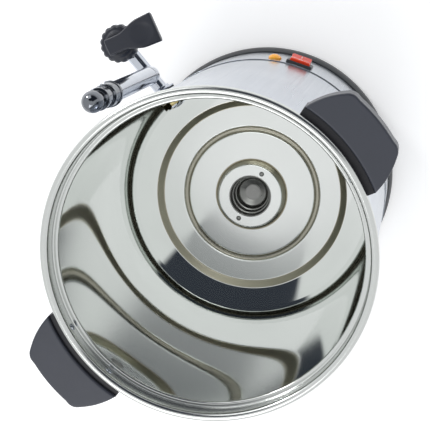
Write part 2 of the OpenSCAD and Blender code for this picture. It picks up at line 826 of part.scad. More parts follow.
module gauge_cap() {
    z0 = shield_top_z;
    neck = ball_r * 0.72;
    color([0.7, 0.71, 0.73]) on_gauge() difference() {
        union() {
            translate([0, 0, z0]) cylinder(r = shield_r + 2.4, h = 5);
            translate([0, 0, z0 + 5]) cylinder(r1 = shield_r + 1.6, r2 = shield_r + 0.6, h = 14);
            translate([0, 0, z0 + 19]) cylinder(r = shield_r + 1.2, h = 3.5);
            translate([0, 0, z0 + 22.5]) cylinder(r = shield_r - 0.6, h = 20);
            translate([0, 0, z0 + 42.5]) cylinder(r = shield_r + 0.6, h = 6);
            translate([0, 0, z0 + 48.5]) cylinder(r = neck, h = ball_z - z0 - 48.5);
            translate([0, 0, ball_z]) sphere(ball_r);
        }
        translate([0, 0, z0 - cut]) cylinder(r = glass_r + lie_gap, h = ball_z - 14.5 - z0 + cut);
        translate([0, 0, z0 - cut]) cylinder(r = seal_r + lie_gap, h = 4.2 + cut);
    }
}

// The two packing rings that hold the glass
module gauge_seals() {
    color([0.2, 0.2, 0.2]) on_gauge() {
        ring(glass_r, seal_r, tee_top_z - 3.8, tee_top_z - 0.2);
        ring(glass_r, seal_r, shield_top_z + 0.4, shield_top_z + 4);
    }
}

bowl_wall();
bowl_floor();
boss_cap();
pump_well();
boss_rivets();
outer_jacket();
waist_ring();
base_skirt();
base_ring();
foot_ring();
base_plate();
plate_screws();
heater_plate();
heater_element();
heater_clamp();
heater_nuts();
boil_thermostat();
cutoff_thermostat();
terminal_block();
switch_housing();
switch_rocker();
lamp_lens();
lamp_body();
power_inlet();
inlet_blades();
handle_right();
handle_left();
handle_screws();
tap_shank();
outer_gasket();
inner_gasket();
shank_nut();
tap_body();
tap_bonnet();
cam_washer();
tap_stem();
seat_cup();
tap_spring();
lever_pin();
tap_lever();
gauge_glass();
gauge_shield();
gauge_cap();
gauge_seals();
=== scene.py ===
"""Electric drinks urn: the final look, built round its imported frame."""

import json
import math

import bmesh
import bpy
from mathutils import Matrix, Vector


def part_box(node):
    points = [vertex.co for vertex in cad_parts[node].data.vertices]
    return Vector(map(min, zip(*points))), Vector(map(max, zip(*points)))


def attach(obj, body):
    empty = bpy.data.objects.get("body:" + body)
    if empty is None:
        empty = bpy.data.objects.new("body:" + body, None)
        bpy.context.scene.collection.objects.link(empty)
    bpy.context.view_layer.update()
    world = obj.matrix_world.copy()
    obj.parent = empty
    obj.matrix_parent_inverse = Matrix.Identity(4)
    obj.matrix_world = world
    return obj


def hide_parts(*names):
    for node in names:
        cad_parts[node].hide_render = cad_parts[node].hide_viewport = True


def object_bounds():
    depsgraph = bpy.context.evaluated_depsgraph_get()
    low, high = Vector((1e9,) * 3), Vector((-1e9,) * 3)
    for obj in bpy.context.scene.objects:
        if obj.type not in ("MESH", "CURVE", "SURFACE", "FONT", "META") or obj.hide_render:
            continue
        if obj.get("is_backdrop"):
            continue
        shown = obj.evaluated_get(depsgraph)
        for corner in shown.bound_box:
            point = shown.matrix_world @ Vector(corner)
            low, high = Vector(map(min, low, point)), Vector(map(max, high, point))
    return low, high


bl_info = {
    "name": "Drinks Urn",
    "version": (1, 0, 0),
    "blender": (4, 5, 0),
    "location": "View3D > Sidebar > Urn",
    "description": "Builds a polished steel drinks urn with its tap, gauge, handles and switch",
    "category": "Object",
}

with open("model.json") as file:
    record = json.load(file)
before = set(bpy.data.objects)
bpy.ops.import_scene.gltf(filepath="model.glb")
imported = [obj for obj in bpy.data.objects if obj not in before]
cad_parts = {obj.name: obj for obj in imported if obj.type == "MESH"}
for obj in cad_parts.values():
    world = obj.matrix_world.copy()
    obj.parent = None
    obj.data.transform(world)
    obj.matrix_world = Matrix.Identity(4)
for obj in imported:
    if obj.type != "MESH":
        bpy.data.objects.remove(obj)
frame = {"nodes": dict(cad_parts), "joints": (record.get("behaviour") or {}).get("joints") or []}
cad_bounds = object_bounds()

MM = 0.001


# ---- Sizes, read from the frame, in millimetres ----


def span(node):
    """Lowest and highest corner of a node as Vectors, in millimetres."""
    return tuple(Vector([float(c) for c in corner]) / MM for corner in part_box(node))


def reach(node):
    """How far a node reaches along +X."""
    return span(node)[1].x


def width(node, axis=0):
    """A node's extent along one axis."""
    lowest, highest = span(node)
    return highest[axis] - lowest[axis]


def heights(node):
    """Lowest and highest level of a node."""
    lowest, highest = span(node)
    return lowest.z, highest.z


def middle(node):
    """The middle of a node's box."""
    lowest, highest = span(node)
    return (lowest + highest) / 2


RIM_R = reach("bowl_wall")
RIM_Z = span("bowl_wall")[1].z
JACKET_R = reach("outer_jacket")
BOWL_R = RIM_R - 12.7
JACKET_Z = heights("outer_jacket")
SKIRT_R = reach("base_skirt")
SKIRT_Z = heights("base_skirt")
RING_R = reach("base_ring")
RING_Z = heights("base_ring")
BOSS_Z = heights("boss_cap")
BOSS_R = reach("boss_cap")
FLOOR_Z = BOSS_Z[0] + 3.6
WELL_Z = span("pump_well")[0].z
STEM = middle("tap_stem")
TAP_Z = span("tap_bonnet")[0].z - 7.6
BONNET_Z = heights("tap_bonnet")
GAUGE = middle("gauge_glass")
SHIELD_Z = heights("gauge_shield")
SHIELD_R = width("gauge_shield") / 2
CAP_TOP = span("gauge_cap")[1].z
NECK_R = JACKET_R + 13
GRIP_REACH = reach("handle_right")
GRIP_TOP = span("handle_right")[1].z
GRIP_W = width("handle_right", 1)
JOINTS = {joint["name"]: joint for joint in frame["joints"]}
ROCKER_AT = JOINTS["rocker_tilt"]["pos_m"]
PANEL_Z = ROCKER_AT[2] / MM
ROCKER_FRONT = 8.0
ROCKER_X = math.hypot(*ROCKER_AT[:2]) / MM
SWITCH_TURN = math.atan2(ROCKER_AT[1], ROCKER_AT[0])
LAMP = middle("lamp_lens")
LAMP_TURN = math.atan2(LAMP.y, LAMP.x)
LEVER_AXIS = JOINTS["lever_tilt"]["axis"]
LEVER_TURN = math.atan2(-LEVER_AXIS[0], LEVER_AXIS[1])
PIN_Z = JOINTS["lever_tilt"]["pos_m"][2] / MM


class UrnShape(bpy.types.PropertyGroup):
    """Sizes of the details that the frame leaves open"""

    bead: bpy.props.FloatProperty(
        name="Rim bead", description="Section radius of the rolled rim", default=3.8 * MM,
        unit="LENGTH",
    )
    sheet: bpy.props.FloatProperty(
        name="Sheet", description="Thickness of the steel sheet", default=0.8 * MM, unit="LENGTH",
    )
    collar: bpy.props.FloatProperty(
        name="Collar", description="Depth of the collar that the lid drops into",
        default=17 * MM, unit="LENGTH",
    )
    ledge: bpy.props.FloatProperty(
        name="Ledge", description="Width of the ledge inside the collar", default=5.1 * MM,
        unit="LENGTH",
    )
    segments: bpy.props.IntProperty(
        name="Segments", description="Steps round a large turned piece", default=288, min=24,
    )
    lobes: bpy.props.IntProperty(
        name="Bonnet lobes", description="Scallops round the tap's bonnet", default=16, min=3,
    )
    dimple: bpy.props.FloatProperty(
        name="Thumb dimple", description="Depth of the dimple in the lever", default=1.5 * MM,
        unit="LENGTH",
    )


def colour(name, description, value):
    """A colour property."""
    return bpy.props.FloatVectorProperty(
        name=name, description=description, default=value, size=3, min=0, max=1, subtype="COLOR",
    )


class UrnFinish(bpy.types.PropertyGroup):
    """Colours of the urn's finishes"""

    bowl: colour("Bowl", "Mirror-polished steel inside", (0.80, 0.82, 0.80))
    jacket: colour("Jacket", "Polished steel outside", (0.45, 0.49, 0.55))
    chrome: colour("Chrome", "Plating on the tap and gauge", (0.58, 0.61, 0.67))
    grip: colour("Grips", "Charcoal moulding of the handles", (0.034, 0.038, 0.052))
    tap: colour("Tap lever", "Black moulding of the lever and bonnet", (0.011, 0.014, 0.025))
    ring: colour("Base ring", "Black moulding of the base", (0.028, 0.032, 0.036))
    rocker: colour("Rocker", "Red moulding of the switch", (0.80, 0.055, 0.012))
    lamp: colour("Lamp", "Amber lens of the lamp", (0.92, 0.44, 0.02))


# ---- Shader groups ----


def group_socket(group, name, kind, value=None, out=False):
    """Adds one named socket to a node group."""
    socket = group.interface.new_socket(
        name=name, in_out="OUTPUT" if out else "INPUT", socket_type=kind,
    )
    if value is not None:
        socket.default_value = value
    return socket


class Wiring:
    """Short calls for building one node tree."""

    def __init__(self, tree):
        self.tree = tree

    def add(self, kind, settings=None, **inputs):
        """Adds a node, sets its properties, and links or fills its inputs by name."""
        node = self.tree.nodes.new(kind)
        for key, value in (settings or {}).items():
            setattr(node, key, value)
        for key, value in inputs.items():
            self.feed(node.inputs[key.replace("_", " ")], value)
        return node

    def feed(self, socket, value):
        """Links an output, or sets a plain value."""
        if isinstance(value, bpy.types.NodeSocket):
            self.tree.links.new(value, socket)
        else:
            socket.default_value = value

    def math(self, operation, a, b=0.0, c=None):
        """One Math node's output."""
        node = self.tree.nodes.new("ShaderNodeMath")
        node.operation = operation
        self.feed(node.inputs[0], a)
        self.feed(node.inputs[1], b)
        if c is not None:
            self.feed(node.inputs[2], c)
        return node.outputs[0]

    def mix(self, factor, a, b):
        """A colour mix's output."""
        node = self.tree.nodes.new("ShaderNodeMix")
        node.data_type = "RGBA"
        self.feed(node.inputs["Factor"], factor)
        self.feed(node.inputs[6], a)
        self.feed(node.inputs[7], b)
        return node.outputs[2]

    def span(self, value, a, b, c, d):
        """Maps value from the range a-b to the range c-d."""
        node = self.tree.nodes.new("ShaderNodeMapRange")
        self.feed(node.inputs["Value"], value)
        for key, number in zip(("From Min", "From Max", "To Min", "To Max"), (a, b, c, d)):
            self.feed(node.inputs[key], number)
        return node.outputs[0]

    def place(self):
        """X, Y and Z of the point on the object."""
        point = self.add("ShaderNodeTexCoord").outputs["Object"]
        return tuple(self.add("ShaderNodeSeparateXYZ", Vector=point).outputs)

    def distance(self, x, y):
        """How far the point (x, y) lies from the origin."""
        squares = self.math("MULTIPLY", x, x), self.math("MULTIPLY", y, y)
        return self.math("SQRT", self.math("ADD", *squares))


def shader_group(name, inputs, outputs):
    """A new shader group with its input and output nodes."""
    group = bpy.data.node_groups.new(name, "ShaderNodeTree")
    for label, kind, value in inputs:
        group_socket(group, label, kind, value)
    for label, kind in outputs:
        group_socket(group, label, kind, out=True)
    wires = Wiring(group)
    return group, wires, wires.add("NodeGroupInput"), wires.add("NodeGroupOutput")


def make_spun_lines():
    """Fine lines that run round the urn's axis, as spinning and polishing leave them."""
    group, w, given, out = shader_group(
        "Spun lines",
        [("Scale", "NodeSocketFloat", 900.0)],
        [("Mask", "NodeSocketFloat")],
    )
    x, y, z = w.place()
    radius = w.distance(x, y)
    lines = w.add(
        "ShaderNodeCombineXYZ",
        X=w.math("MULTIPLY", radius, given.outputs["Scale"]),
        Y=w.math("MULTIPLY", z, given.outputs["Scale"]),
        Z=w.math("MULTIPLY", x, 6.0),
    )
    noise = w.add("ShaderNodeTexNoise", Vector=lines.outputs[0], Scale=1.0, Detail=3.0)
    w.feed(out.inputs["Mask"], noise.outputs[0])
    return group


def make_drawn_lines():
    """Fine upright lines round a drawn shell."""
    group, w, given, out = shader_group(
        "Drawn lines",
        [("Scale", "NodeSocketFloat", 240.0), ("Stretch", "NodeSocketFloat", 6.0)],
        [("Mask", "NodeSocketFloat")],
    )
    x, y, z = w.place()
    lines = w.add(
        "ShaderNodeCombineXYZ",
        X=w.math("MULTIPLY", x, given.outputs["Scale"]),
        Y=w.math("MULTIPLY", y, given.outputs["Scale"]),
        Z=w.math("MULTIPLY", z, given.outputs["Stretch"]),
    )
    noise = w.add("ShaderNodeTexNoise", Vector=lines.outputs[0], Scale=1.0, Detail=4.0)
    w.feed(out.inputs["Mask"], noise.outputs[0])
    return group


def make_smudges():
    """Broad, soft marks of handling and drying water."""
    group, w, given, out = shader_group(
        "Smudges",
        [("Scale", "NodeSocketFloat", 14.0), ("Contrast", "NodeSocketFloat", 0.35)],
        [("Mask", "NodeSocketFloat")],
    )
    place = w.add("ShaderNodeTexCoord").outputs["Object"]
    broad = w.add("ShaderNodeTexNoise", Vector=place, Scale=given.outputs["Scale"], Detail=5.0)
    edge = w.math("SUBTRACT", 0.5, w.math("MULTIPLY", given.outputs["Contrast"], 0.5))
    top = w.math("ADD", 0.5, w.math("MULTIPLY", given.outputs["Contrast"], 0.5))
    w.feed(out.inputs["Mask"], w.span(broad.outputs[0], edge, top, 0.0, 1.0))
    return group


def make_ring_mask():
    """A soft-edged band at one distance from the urn's axis."""
    group, w, given, out = shader_group(
        "Ring mask",
        [("Radius", "NodeSocketFloat", 0.1), ("Half width", "NodeSocketFloat", 0.004),
         ("Softness", "NodeSocketFloat", 0.0008)],
        [("Mask", "NodeSocketFloat")],
    )
    x, y, _ = w.place()
    radius = w.distance(x, y)
    off = w.math("ABSOLUTE", w.math("SUBTRACT", radius, given.outputs["Radius"]))
    edge = w.math("ADD", given.outputs["Half width"], given.outputs["Softness"])
    w.feed(out.inputs["Mask"], w.span(off, given.outputs["Half width"], edge, 1.0, 0.0))
    return group


def make_moulded_grain():
    """The faint pebbled skin of a satin moulding."""
    group, w, given, out = shader_group(
        "Moulded grain",
        [("Scale", "NodeSocketFloat", 1400.0), ("Height", "NodeSocketFloat", 0.12)],
        [("Normal", "NodeSocketVector"), ("Mask", "NodeSocketFloat")],
    )
    place = w.add("ShaderNodeTexCoord").outputs["Object"]
    pebbles = w.add("ShaderNodeTexVoronoi", Vector=place, Scale=given.outputs["Scale"])
    fine = w.add("ShaderNodeTexNoise", Vector=place, Scale=260.0, Detail=4.0)
    mixed = w.math("ADD", pebbles.outputs["Distance"], fine.outputs[0])
    bump = w.add(
        "ShaderNodeBump", Strength=given.outputs["Height"], Distance=0.00004, Height=mixed,
    )
    w.feed(out.inputs["Normal"], bump.outputs[0])
    w.feed(out.inputs["Mask"], fine.outputs[0])
    return group


def shared(name, maker):
    """A shader group that is made once."""
    return bpy.data.node_groups.get(name) or maker()


def use_group(w, name, maker, **values):
    """Places a shared group in a material."""
    node = w.add("ShaderNodeGroup", {"node_tree": shared(name, maker)})
    for key, value in values.items():
        w.feed(node.inputs[key.replace("_", " ")], value)
    return node


# ---- Materials ----


def new_material(name, **fixed):
    """A material with its wiring and its shader, whose fixed sockets are set."""
    material = bpy.data.materials.new(name)
    material.use_nodes = True
    w = Wiring(material.node_tree)
    shader = material.node_tree.nodes["Principled BSDF"]
    for key, value in fixed.items():
        shader.inputs[key.replace("_", " ")].default_value = value
    return material, w, shader


def rgba(tone, gain=1.0):
    """A colour with alpha, made lighter or darker."""
    return tuple(min(1.0, c * gain) for c in tone) + (1.0,)


def mirror_steel(name, tone, rough, lines, bump):
    """Spun and polished steel: fine rings, soft smudges and a slightly uneven shine."""
    material, w, shader = new_material(name, Metallic=1.0)
    rings = use_group(w, "Spun lines", make_spun_lines, Scale=lines)
    marks = use_group(w, "Smudges", make_smudges, Scale=11.0, Contrast=0.4)
    w.feed(shader.inputs["Base Color"], w.mix(marks.outputs["Mask"], rgba(tone), rgba(tone, 0.94)))
    shine = w.math("MULTIPLY_ADD", rings.outputs["Mask"], rough * 0.7, rough * 0.5)
    shine = w.math("MULTIPLY_ADD", marks.outputs["Mask"], rough * 0.5, shine)
    w.feed(shader.inputs["Roughness"], shine)
    height = w.add(
        "ShaderNodeBump", Strength=bump, Distance=0.00002, Height=rings.outputs["Mask"],
    )
    w.feed(shader.inputs["Normal"], height.outputs[0])
    return material


def reopened(material):
    """A material's wiring and shader, with what feeds its colour and its roughness."""
    shader = material.node_tree.nodes["Principled BSDF"]
    fed = [shader.inputs[key].links[0].from_socket for key in ("Base Color", "Roughness")]
    return Wiring(material.node_tree), shader, *fed


# Bands of brown film and painted shade in the floor's steps, groove and boss crease: radius, half
# width and strength
FILM_AND_SHADE_BANDS = ((98.6, 3.4, 0.9), (70.4, 2.6, 0.8), (BOSS_R - 1.0, 2.0, 1.0))
# Brown film colour, which also paints the shade in the steps, groove and boss crease
FILM_AND_SHADE_TONE = (0.30, 0.275, 0.20, 1.0)
# Painted shade: a dark line in the corner where the floor meets the wall
SEAM_SHADE_TONE = (0.05, 0.048, 0.035, 1.0)
SATIN_R = 94
# The wall turns dull between these depths below the rim
DULL_FROM, DULL_FULL = 22, 17


def pressed_floor(name, tone):
    """Spun steel whose steps and groove hold a brown film that also paints their shade, with a
    satin middle.
    """
    material = mirror_steel(name, tone, 0.06, 900.0, 0.05)
    w, shader, plain, shine = reopened(material)
    # Painted shade and brown film in the steps, the groove and round the boss
    film_and_shade = 0.0
    for radius, half, depth in FILM_AND_SHADE_BANDS:
        band = use_group(
            w, "Ring mask", make_ring_mask, Radius=radius * MM, Half_width=half * MM,
            Softness=0.6 * MM,
        )
        film_and_shade = w.math("MAXIMUM", w.math("MULTIPLY", band.outputs["Mask"], depth), film_and_shade)
    satin = use_group(
        w, "Ring mask", make_ring_mask, Radius=0.0, Half_width=SATIN_R * MM, Softness=1.5 * MM,
    )
    # Painted shade in the corner where the floor meets the wall
    seam_shade = use_group(
        w, "Ring mask", make_ring_mask, Radius=(BOWL_R - 0.9) * MM, Half_width=0.7 * MM,
        Softness=0.5 * MM,
    )
    tinted = w.mix(film_and_shade, plain, FILM_AND_SHADE_TONE)
    w.feed(shader.inputs["Base Color"], w.mix(seam_shade.outputs["Mask"], tinted, SEAM_SHADE_TONE))
    shine = w.math("MAXIMUM", shine, w.math("MULTIPLY", satin.outputs["Mask"], 0.22))
    w.feed(shader.inputs["Roughness"], w.math("MAXIMUM", shine, w.math("MULTIPLY", film_and_shade, 0.32)))
    return material


def rimmed_steel(name, tone):
    """Mirror steel below, duller and greyer on the collar and the rolled rim."""
    material = mirror_steel(name, tone, 0.035, 900.0, 0.03)
    w, shader, plain, shine = reopened(material)
    level = w.place()[2]
    # Darker and rougher towards the rim
    near_rim = w.span(level, (RIM_Z - DULL_FROM) * MM, (RIM_Z - DULL_FULL) * MM, 0.0, 1.0)
    w.feed(shader.inputs["Base Color"], w.mix(near_rim, plain, rgba(tone, 0.78)))
    w.feed(shader.inputs["Roughness"], w.math("MAXIMUM", shine, w.math("MULTIPLY", near_rim, 0.20)))
    return material


def drawn_steel(name, tone, rough):
    """A drawn and buffed shell: upright lines, a soft, streaky shine, and broad upright bands
    painted lighter and darker into the colour as streaks of reflection.
    """
    material, w, shader = new_material(name, Metallic=1.0, Anisotropic=0.8)
    around = w.add("ShaderNodeTangent", {"direction_type": "RADIAL", "axis": "Z"})
    w.feed(shader.inputs["Tangent"], around.outputs[0])
    lines = use_group(w, "Drawn lines", make_drawn_lines, Scale=420.0, Stretch=5.0)
    # Painted reflection: broad upright bands, lighter and darker, that stand for the streaks of
    # shine
    painted_streaks = use_group(w, "Drawn lines", make_drawn_lines, Scale=36.0, Stretch=1.2)
    marks = use_group(w, "Smudges", make_smudges, Scale=9.0, Contrast=0.5)
    w.feed(
        shader.inputs["Base Color"],
        w.mix(painted_streaks.outputs["Mask"], rgba(tone, 0.93), rgba(tone, 1.06)),
    )
    shine = w.math("MULTIPLY_ADD", lines.outputs["Mask"], rough * 0.6, rough * 0.6)
    shine = w.math("MULTIPLY_ADD", marks.outputs["Mask"], rough * 0.35, shine)
    w.feed(shader.inputs["Roughness"], shine)
    height = w.add(
        "ShaderNodeBump", Strength=0.18, Distance=0.00003, Height=lines.outputs["Mask"],
    )
    w.feed(shader.inputs["Normal"], height.outputs[0])
    return material


def plated(name, tone, rough):
    """Bright plating with faint smudges."""
    material, w, shader = new_material(name, Metallic=1.0)
    marks = use_group(w, "Smudges", make_smudges, Scale=40.0, Contrast=0.5)
    w.feed(shader.inputs["Base Color"], w.mix(marks.outputs["Mask"], rgba(tone), rgba(tone, 0.93)))
    w.feed(
        shader.inputs["Roughness"],
        w.math("MULTIPLY_ADD", marks.outputs["Mask"], rough, rough * 0.6),
    )
    return material


def moulded(name, tone, rough, height=0.12):
    """A satin moulding with a faint grain and slightly worn, paler patches."""
    material, w, shader = new_material(name)
    grain = use_group(w, "Moulded grain", make_moulded_grain, Height=height)
    marks = use_group(w, "Smudges", make_smudges, Scale=26.0, Contrast=0.6)
    w.feed(
        shader.inputs["Base Color"],
        w.mix(marks.outputs["Mask"], rgba(tone, 0.94), rgba(tone, 1.1)),
    )
    w.feed(
        shader.inputs["Roughness"],
        w.math("MULTIPLY_ADD", grain.outputs["Mask"], 0.16, rough - 0.08),
    )
    w.feed(shader.inputs["Normal"], grain.outputs["Normal"])
    return material


def lit_plastic(name, tone, shaded_tone, glow, reach):
    """A glossy, see-through moulding: its colour is painted lighter on top as light and deeper
    lower down as shade, and it glows a little.
    """
    material, w, shader = new_material(
        name, Subsurface_Weight=0.25, Subsurface_Scale=0.003, Coat_Weight=0.6, Coat_Roughness=0.08,
        Emission_Strength=glow,
    )
    place = w.add("ShaderNodeTexCoord").outputs["Object"]
    height = w.add("ShaderNodeSeparateXYZ", Vector=place).outputs["Z"]
    centre = PANEL_Z * MM
    # Painted light and shade: lighter at the top, deeper lower down
    painted_light_rise = w.span(height, centre - reach * MM, centre + reach * MM, 0.0, 1.0)
    speck = w.add("ShaderNodeTexNoise", Vector=place, Scale=420.0, Detail=2.0)
    mixed = w.mix(painted_light_rise, rgba(shaded_tone), rgba(tone))
    mixed = w.mix(w.math("MULTIPLY", speck.outputs[0], 0.25), mixed, rgba(shaded_tone, 0.6))
    w.feed(shader.inputs["Base Color"], mixed)
    w.feed(shader.inputs["Emission Color"], mixed)
    w.feed(shader.inputs["Roughness"], w.math("MULTIPLY_ADD", speck.outputs[0], 0.12, 0.2))
    return material


def clear_glass(name):
    """Clear tube glass with a faint haze of water marks."""
    material, w, shader = new_material(
        name, Transmission_Weight=1.0, IOR=1.47, Base_Color=(0.94, 0.97, 0.96, 1.0),
    )
    marks = use_group(w, "Smudges", make_smudges, Scale=60.0, Contrast=0.3)
    w.feed(
        shader.inputs["Roughness"], w.math("MULTIPLY_ADD", marks.outputs["Mask"], 0.05, 0.01),
    )
    return material


def finish(name):
    """A finish from the table, whose material is made once."""
    tones = bpy.context.scene.urn_finish
    maker, *values = {
        "Bowl steel": (rimmed_steel, tones.bowl),
        "Floor steel": (pressed_floor, tones.bowl),
        "Well steel": (mirror_steel, (0.30, 0.30, 0.29), 0.34, 700.0, 0.2),
        "Jacket steel": (drawn_steel, tones.jacket, 0.22),
        "Dark plating": (plated, (0.20, 0.21, 0.23), 0.10),
        "Chrome": (plated, tones.chrome, 0.10),
        "Zinc": (plated, (0.52, 0.53, 0.54), 0.22),
        "Plated brass": (plated, (0.55, 0.44, 0.24), 0.16),
        "Cast aluminium": (mirror_steel, (0.62, 0.62, 0.63), 0.4, 300.0, 0.3),
        "Element sheath": (mirror_steel, (0.16, 0.14, 0.13), 0.45, 500.0, 0.3),
        "Grip moulding": (moulded, tones.grip, 0.42),
        # Painted shade: the neck is coloured far darker than the grip for the shade below the
        # grip's top
        "Neck moulding": (moulded, (0.007, 0.007, 0.011), 0.5),
        "Tap moulding": (moulded, tones.tap, 0.36),
        "Ring moulding": (moulded, tones.ring, 0.4),
        "Black rubber": (moulded, (0.012, 0.012, 0.012), 0.75, 0.3),
        "Pale moulding": (moulded, (0.62, 0.60, 0.54), 0.5),
        "Brown moulding": (moulded, (0.08, 0.045, 0.028), 0.45),
        "Silicone": (moulded, (0.55, 0.50, 0.40), 0.4),
        "Mark ink": (moulded, (0.62, 0.60, 0.58), 0.4),
        # Rocker and lamp: the second colour is the painted shade of the lower part, the first the
        # lit top
        "Rocker moulding": (lit_plastic, tones.rocker, (0.62, 0.02, 0.006), 0.12, 7.0),
        "Lamp lens": (lit_plastic, tones.lamp, (0.72, 0.02, 0.01), 0.15, 3.0),
        "Tube glass": (clear_glass,),
    }[name]
    return bpy.data.materials.get(name) or maker(name, *values)


# ---- Meshes ----


def bare_mesh(name, points, edges=(), faces=()):
    """A linked object made of points in millimetres."""
    mesh = bpy.data.meshes.new(name)
    mesh.from_pydata([Vector(p) * MM for p in points], edges, faces)
    piece = bpy.data.objects.new(name, mesh)
    bpy.context.scene.collection.objects.link(piece)
    return piece


# Points closer than this are one point
MERGE = 0.002


def tidy_mesh(piece, sharp=38.0):
    """Merges doubles, turns the faces outwards, and smooths all but the sharp edges."""
    bm = bmesh.new()
    bm.from_mesh(piece.data)
    bmesh.ops.remove_doubles(bm, verts=bm.verts, dist=MERGE * MM)
    bmesh.ops.dissolve_degenerate(bm, edges=bm.edges, dist=MERGE * MM / 2)
    bmesh.ops.recalc_face_normals(bm, faces=bm.faces)
    bm.to_mesh(piece.data)
    bm.free()
    piece.data.shade_smooth()
    piece.data.set_sharp_from_angle(angle=math.radians(sharp))
    return piece


def apply_modifiers(piece):
    """Turns what the modifiers show into the object's own mesh."""
    depsgraph = bpy.context.evaluated_depsgraph_get()
    mesh = bpy.data.meshes.new_from_object(piece.evaluated_get(depsgraph))
    piece.modifiers.clear()
    old = piece.data
    piece.data = mesh
    bpy.data.meshes.remove(old)
    return piece


def place_mesh(piece, matrix):
    """Moves the mesh itself, so that the object stays at the origin. Distances are in metres."""
    piece.data.transform(matrix)
    return piece


def paint(piece, material):
    """Gives the piece one material."""
    piece.data.materials.clear()
    piece.data.materials.append(material)
    return piece


def dress(piece, body, slot, *nodes):
    """Rides the piece on a body and lets it stand for CAD nodes. The slot is not used."""
    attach(piece, body)
    if nodes:
        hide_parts(*nodes)
    return piece


# A point this far from each rounded corner keeps the flats flat
GUARD = 0.5


def rounded(outline, closed=False):
    """An outline whose corners are rounded. Each point is (radius, height, rounding, scallop)."""
    points = [tuple(p) + (0.0,) * (4 - len(p)) for p in outline]
    count = len(points)
    path = []
    for i, (x, y, r, weight) in enumerate(points):
        if r == 0 or (not closed and i in (0, count - 1)):
            path.append((x, y, weight))
            continue
        here = Vector((x, y))
        back = Vector(points[i - 1][:2]) - here
        ahead = Vector(points[(i + 1) % count][:2]) - here
        half = back.angle(ahead) / 2
        if half > math.radians(89):
            path.append((x, y, weight))
            continue
        reach = min(r / math.tan(half), 0.46 * back.length, 0.46 * ahead.length)
        radius = reach * math.tan(half)
        middle_way = (back.normalized() + ahead.normalized()).normalized()
        centre = here + middle_way * radius / math.sin(half)
        start = here + back.normalized() * reach - centre
        end = here + ahead.normalized() * reach - centre
        turn = start.angle_signed(end)
        steps = max(3, math.ceil(abs(turn) / math.radians(11)))
        before = min(GUARD, 0.3 * (back.length - reach))
        after = min(GUARD, 0.3 * (ahead.length - reach))
        path.append((*(here + back.normalized() * (reach + before)), weight))
        for k in range(steps + 1):
            spoke = start.copy()
            spoke.rotate(Matrix.Rotation(-turn * k / steps, 2))
            path.append((*(centre + spoke), weight))
        path.append((*(here + ahead.normalized() * (reach + after)), weight))
    if closed:
        path.append(path[0])
    return path


def ball_arc(radius, height, size, start, end, steps=14):
    """Points of an arc about (radius, height), from one angle to another in degrees."""
    angles = [math.radians(start + (end - start) * i / steps) for i in range(steps + 1)]
    return [(radius + size * math.cos(a), height + size * math.sin(a), 0.0) for a in angles]


# ---- Geometry Nodes ----


def node_tree(name, inputs):
    """A geometry tree with named inputs."""
    tree = bpy.data.node_groups.new(name, "GeometryNodeTree")
    group_socket(tree, "Geometry", "NodeSocketGeometry")
    for label, kind, value in inputs:
        group_socket(tree, label, kind, value)
    group_socket(tree, "Geometry", "NodeSocketGeometry", out=True)
    wires = Wiring(tree)
    return tree, wires, wires.add("NodeGroupInput"), wires.add("NodeGroupOutput")


def make_turned_tree():
    """Turns an outline round +Z. The outline's Y holds how strongly scallops cut that point."""
    tree, w, given, out = node_tree("Turned piece", [
        ("Segments", "NodeSocketInt", 96), ("Points", "NodeSocketInt", 2),
        ("Scallops", "NodeSocketInt", 0), ("Scallop depth", "NodeSocketFloat", 0.0),
        ("Material", "NodeSocketMaterial", None),
    ])
    around = w.math("ADD", given.outputs["Segments"], 1.0)
    grid = w.add("GeometryNodeMeshGrid", Size_X=1.0, Size_Y=1.0)
    w.feed(grid.inputs["Vertices X"], around)
    w.feed(grid.inputs["Vertices Y"], given.outputs["Points"])
    at = w.add("ShaderNodeSeparateXYZ", Vector=w.add("GeometryNodeInputPosition").outputs[0])
    angle = w.math("MULTIPLY", w.math("ADD", at.outputs["X"], 0.5), math.tau)
    last = w.math("SUBTRACT", given.outputs["Points"], 1.0)
    index = w.math("ROUND", w.math("MULTIPLY", w.math("ADD", at.outputs["Y"], 0.5), last))
    pick = w.add("GeometryNodeSampleIndex", {"data_type": "FLOAT_VECTOR"})
    w.feed(pick.inputs["Geometry"], given.outputs["Geometry"])
    w.feed(pick.inputs["Value"], w.add("GeometryNodeInputPosition").outputs[0])
    w.feed(pick.inputs["Index"], index)
    outline = w.add("ShaderNodeSeparateXYZ", Vector=pick.outputs["Value"])
    waves = w.math("MULTIPLY", given.outputs["Scallops"], 0.5)
    wave = w.math("COSINE", w.math("MULTIPLY", angle, waves))
    cut = w.math("SUBTRACT", 1.0, w.math("ABSOLUTE", wave))
    depth = w.math("MULTIPLY", outline.outputs["Y"], given.outputs["Scallop depth"])
    cut = w.math("MULTIPLY", cut, depth)
    radius = w.math("SUBTRACT", outline.outputs["X"], cut)
    place = w.add(
        "ShaderNodeCombineXYZ",
        X=w.math("MULTIPLY", radius, w.math("COSINE", angle)),
        Y=w.math("MULTIPLY", radius, w.math("SINE", angle)),
        Z=outline.outputs["Z"],
    )
    moved = w.add(
        "GeometryNodeSetPosition", Geometry=grid.outputs["Mesh"], Position=place.outputs[0],
    )
    merged = w.add("GeometryNodeMergeByDistance", Geometry=moved.outputs[0], Distance=0.000001)
    real = w.add("GeometryNodeRealizeInstances", Geometry=merged.outputs[0])
    coated = w.add(
        "GeometryNodeSetMaterial", Geometry=real.outputs[0], Material=given.outputs["Material"],
    )
    w.feed(out.inputs["Geometry"], coated.outputs[0])
    return tree


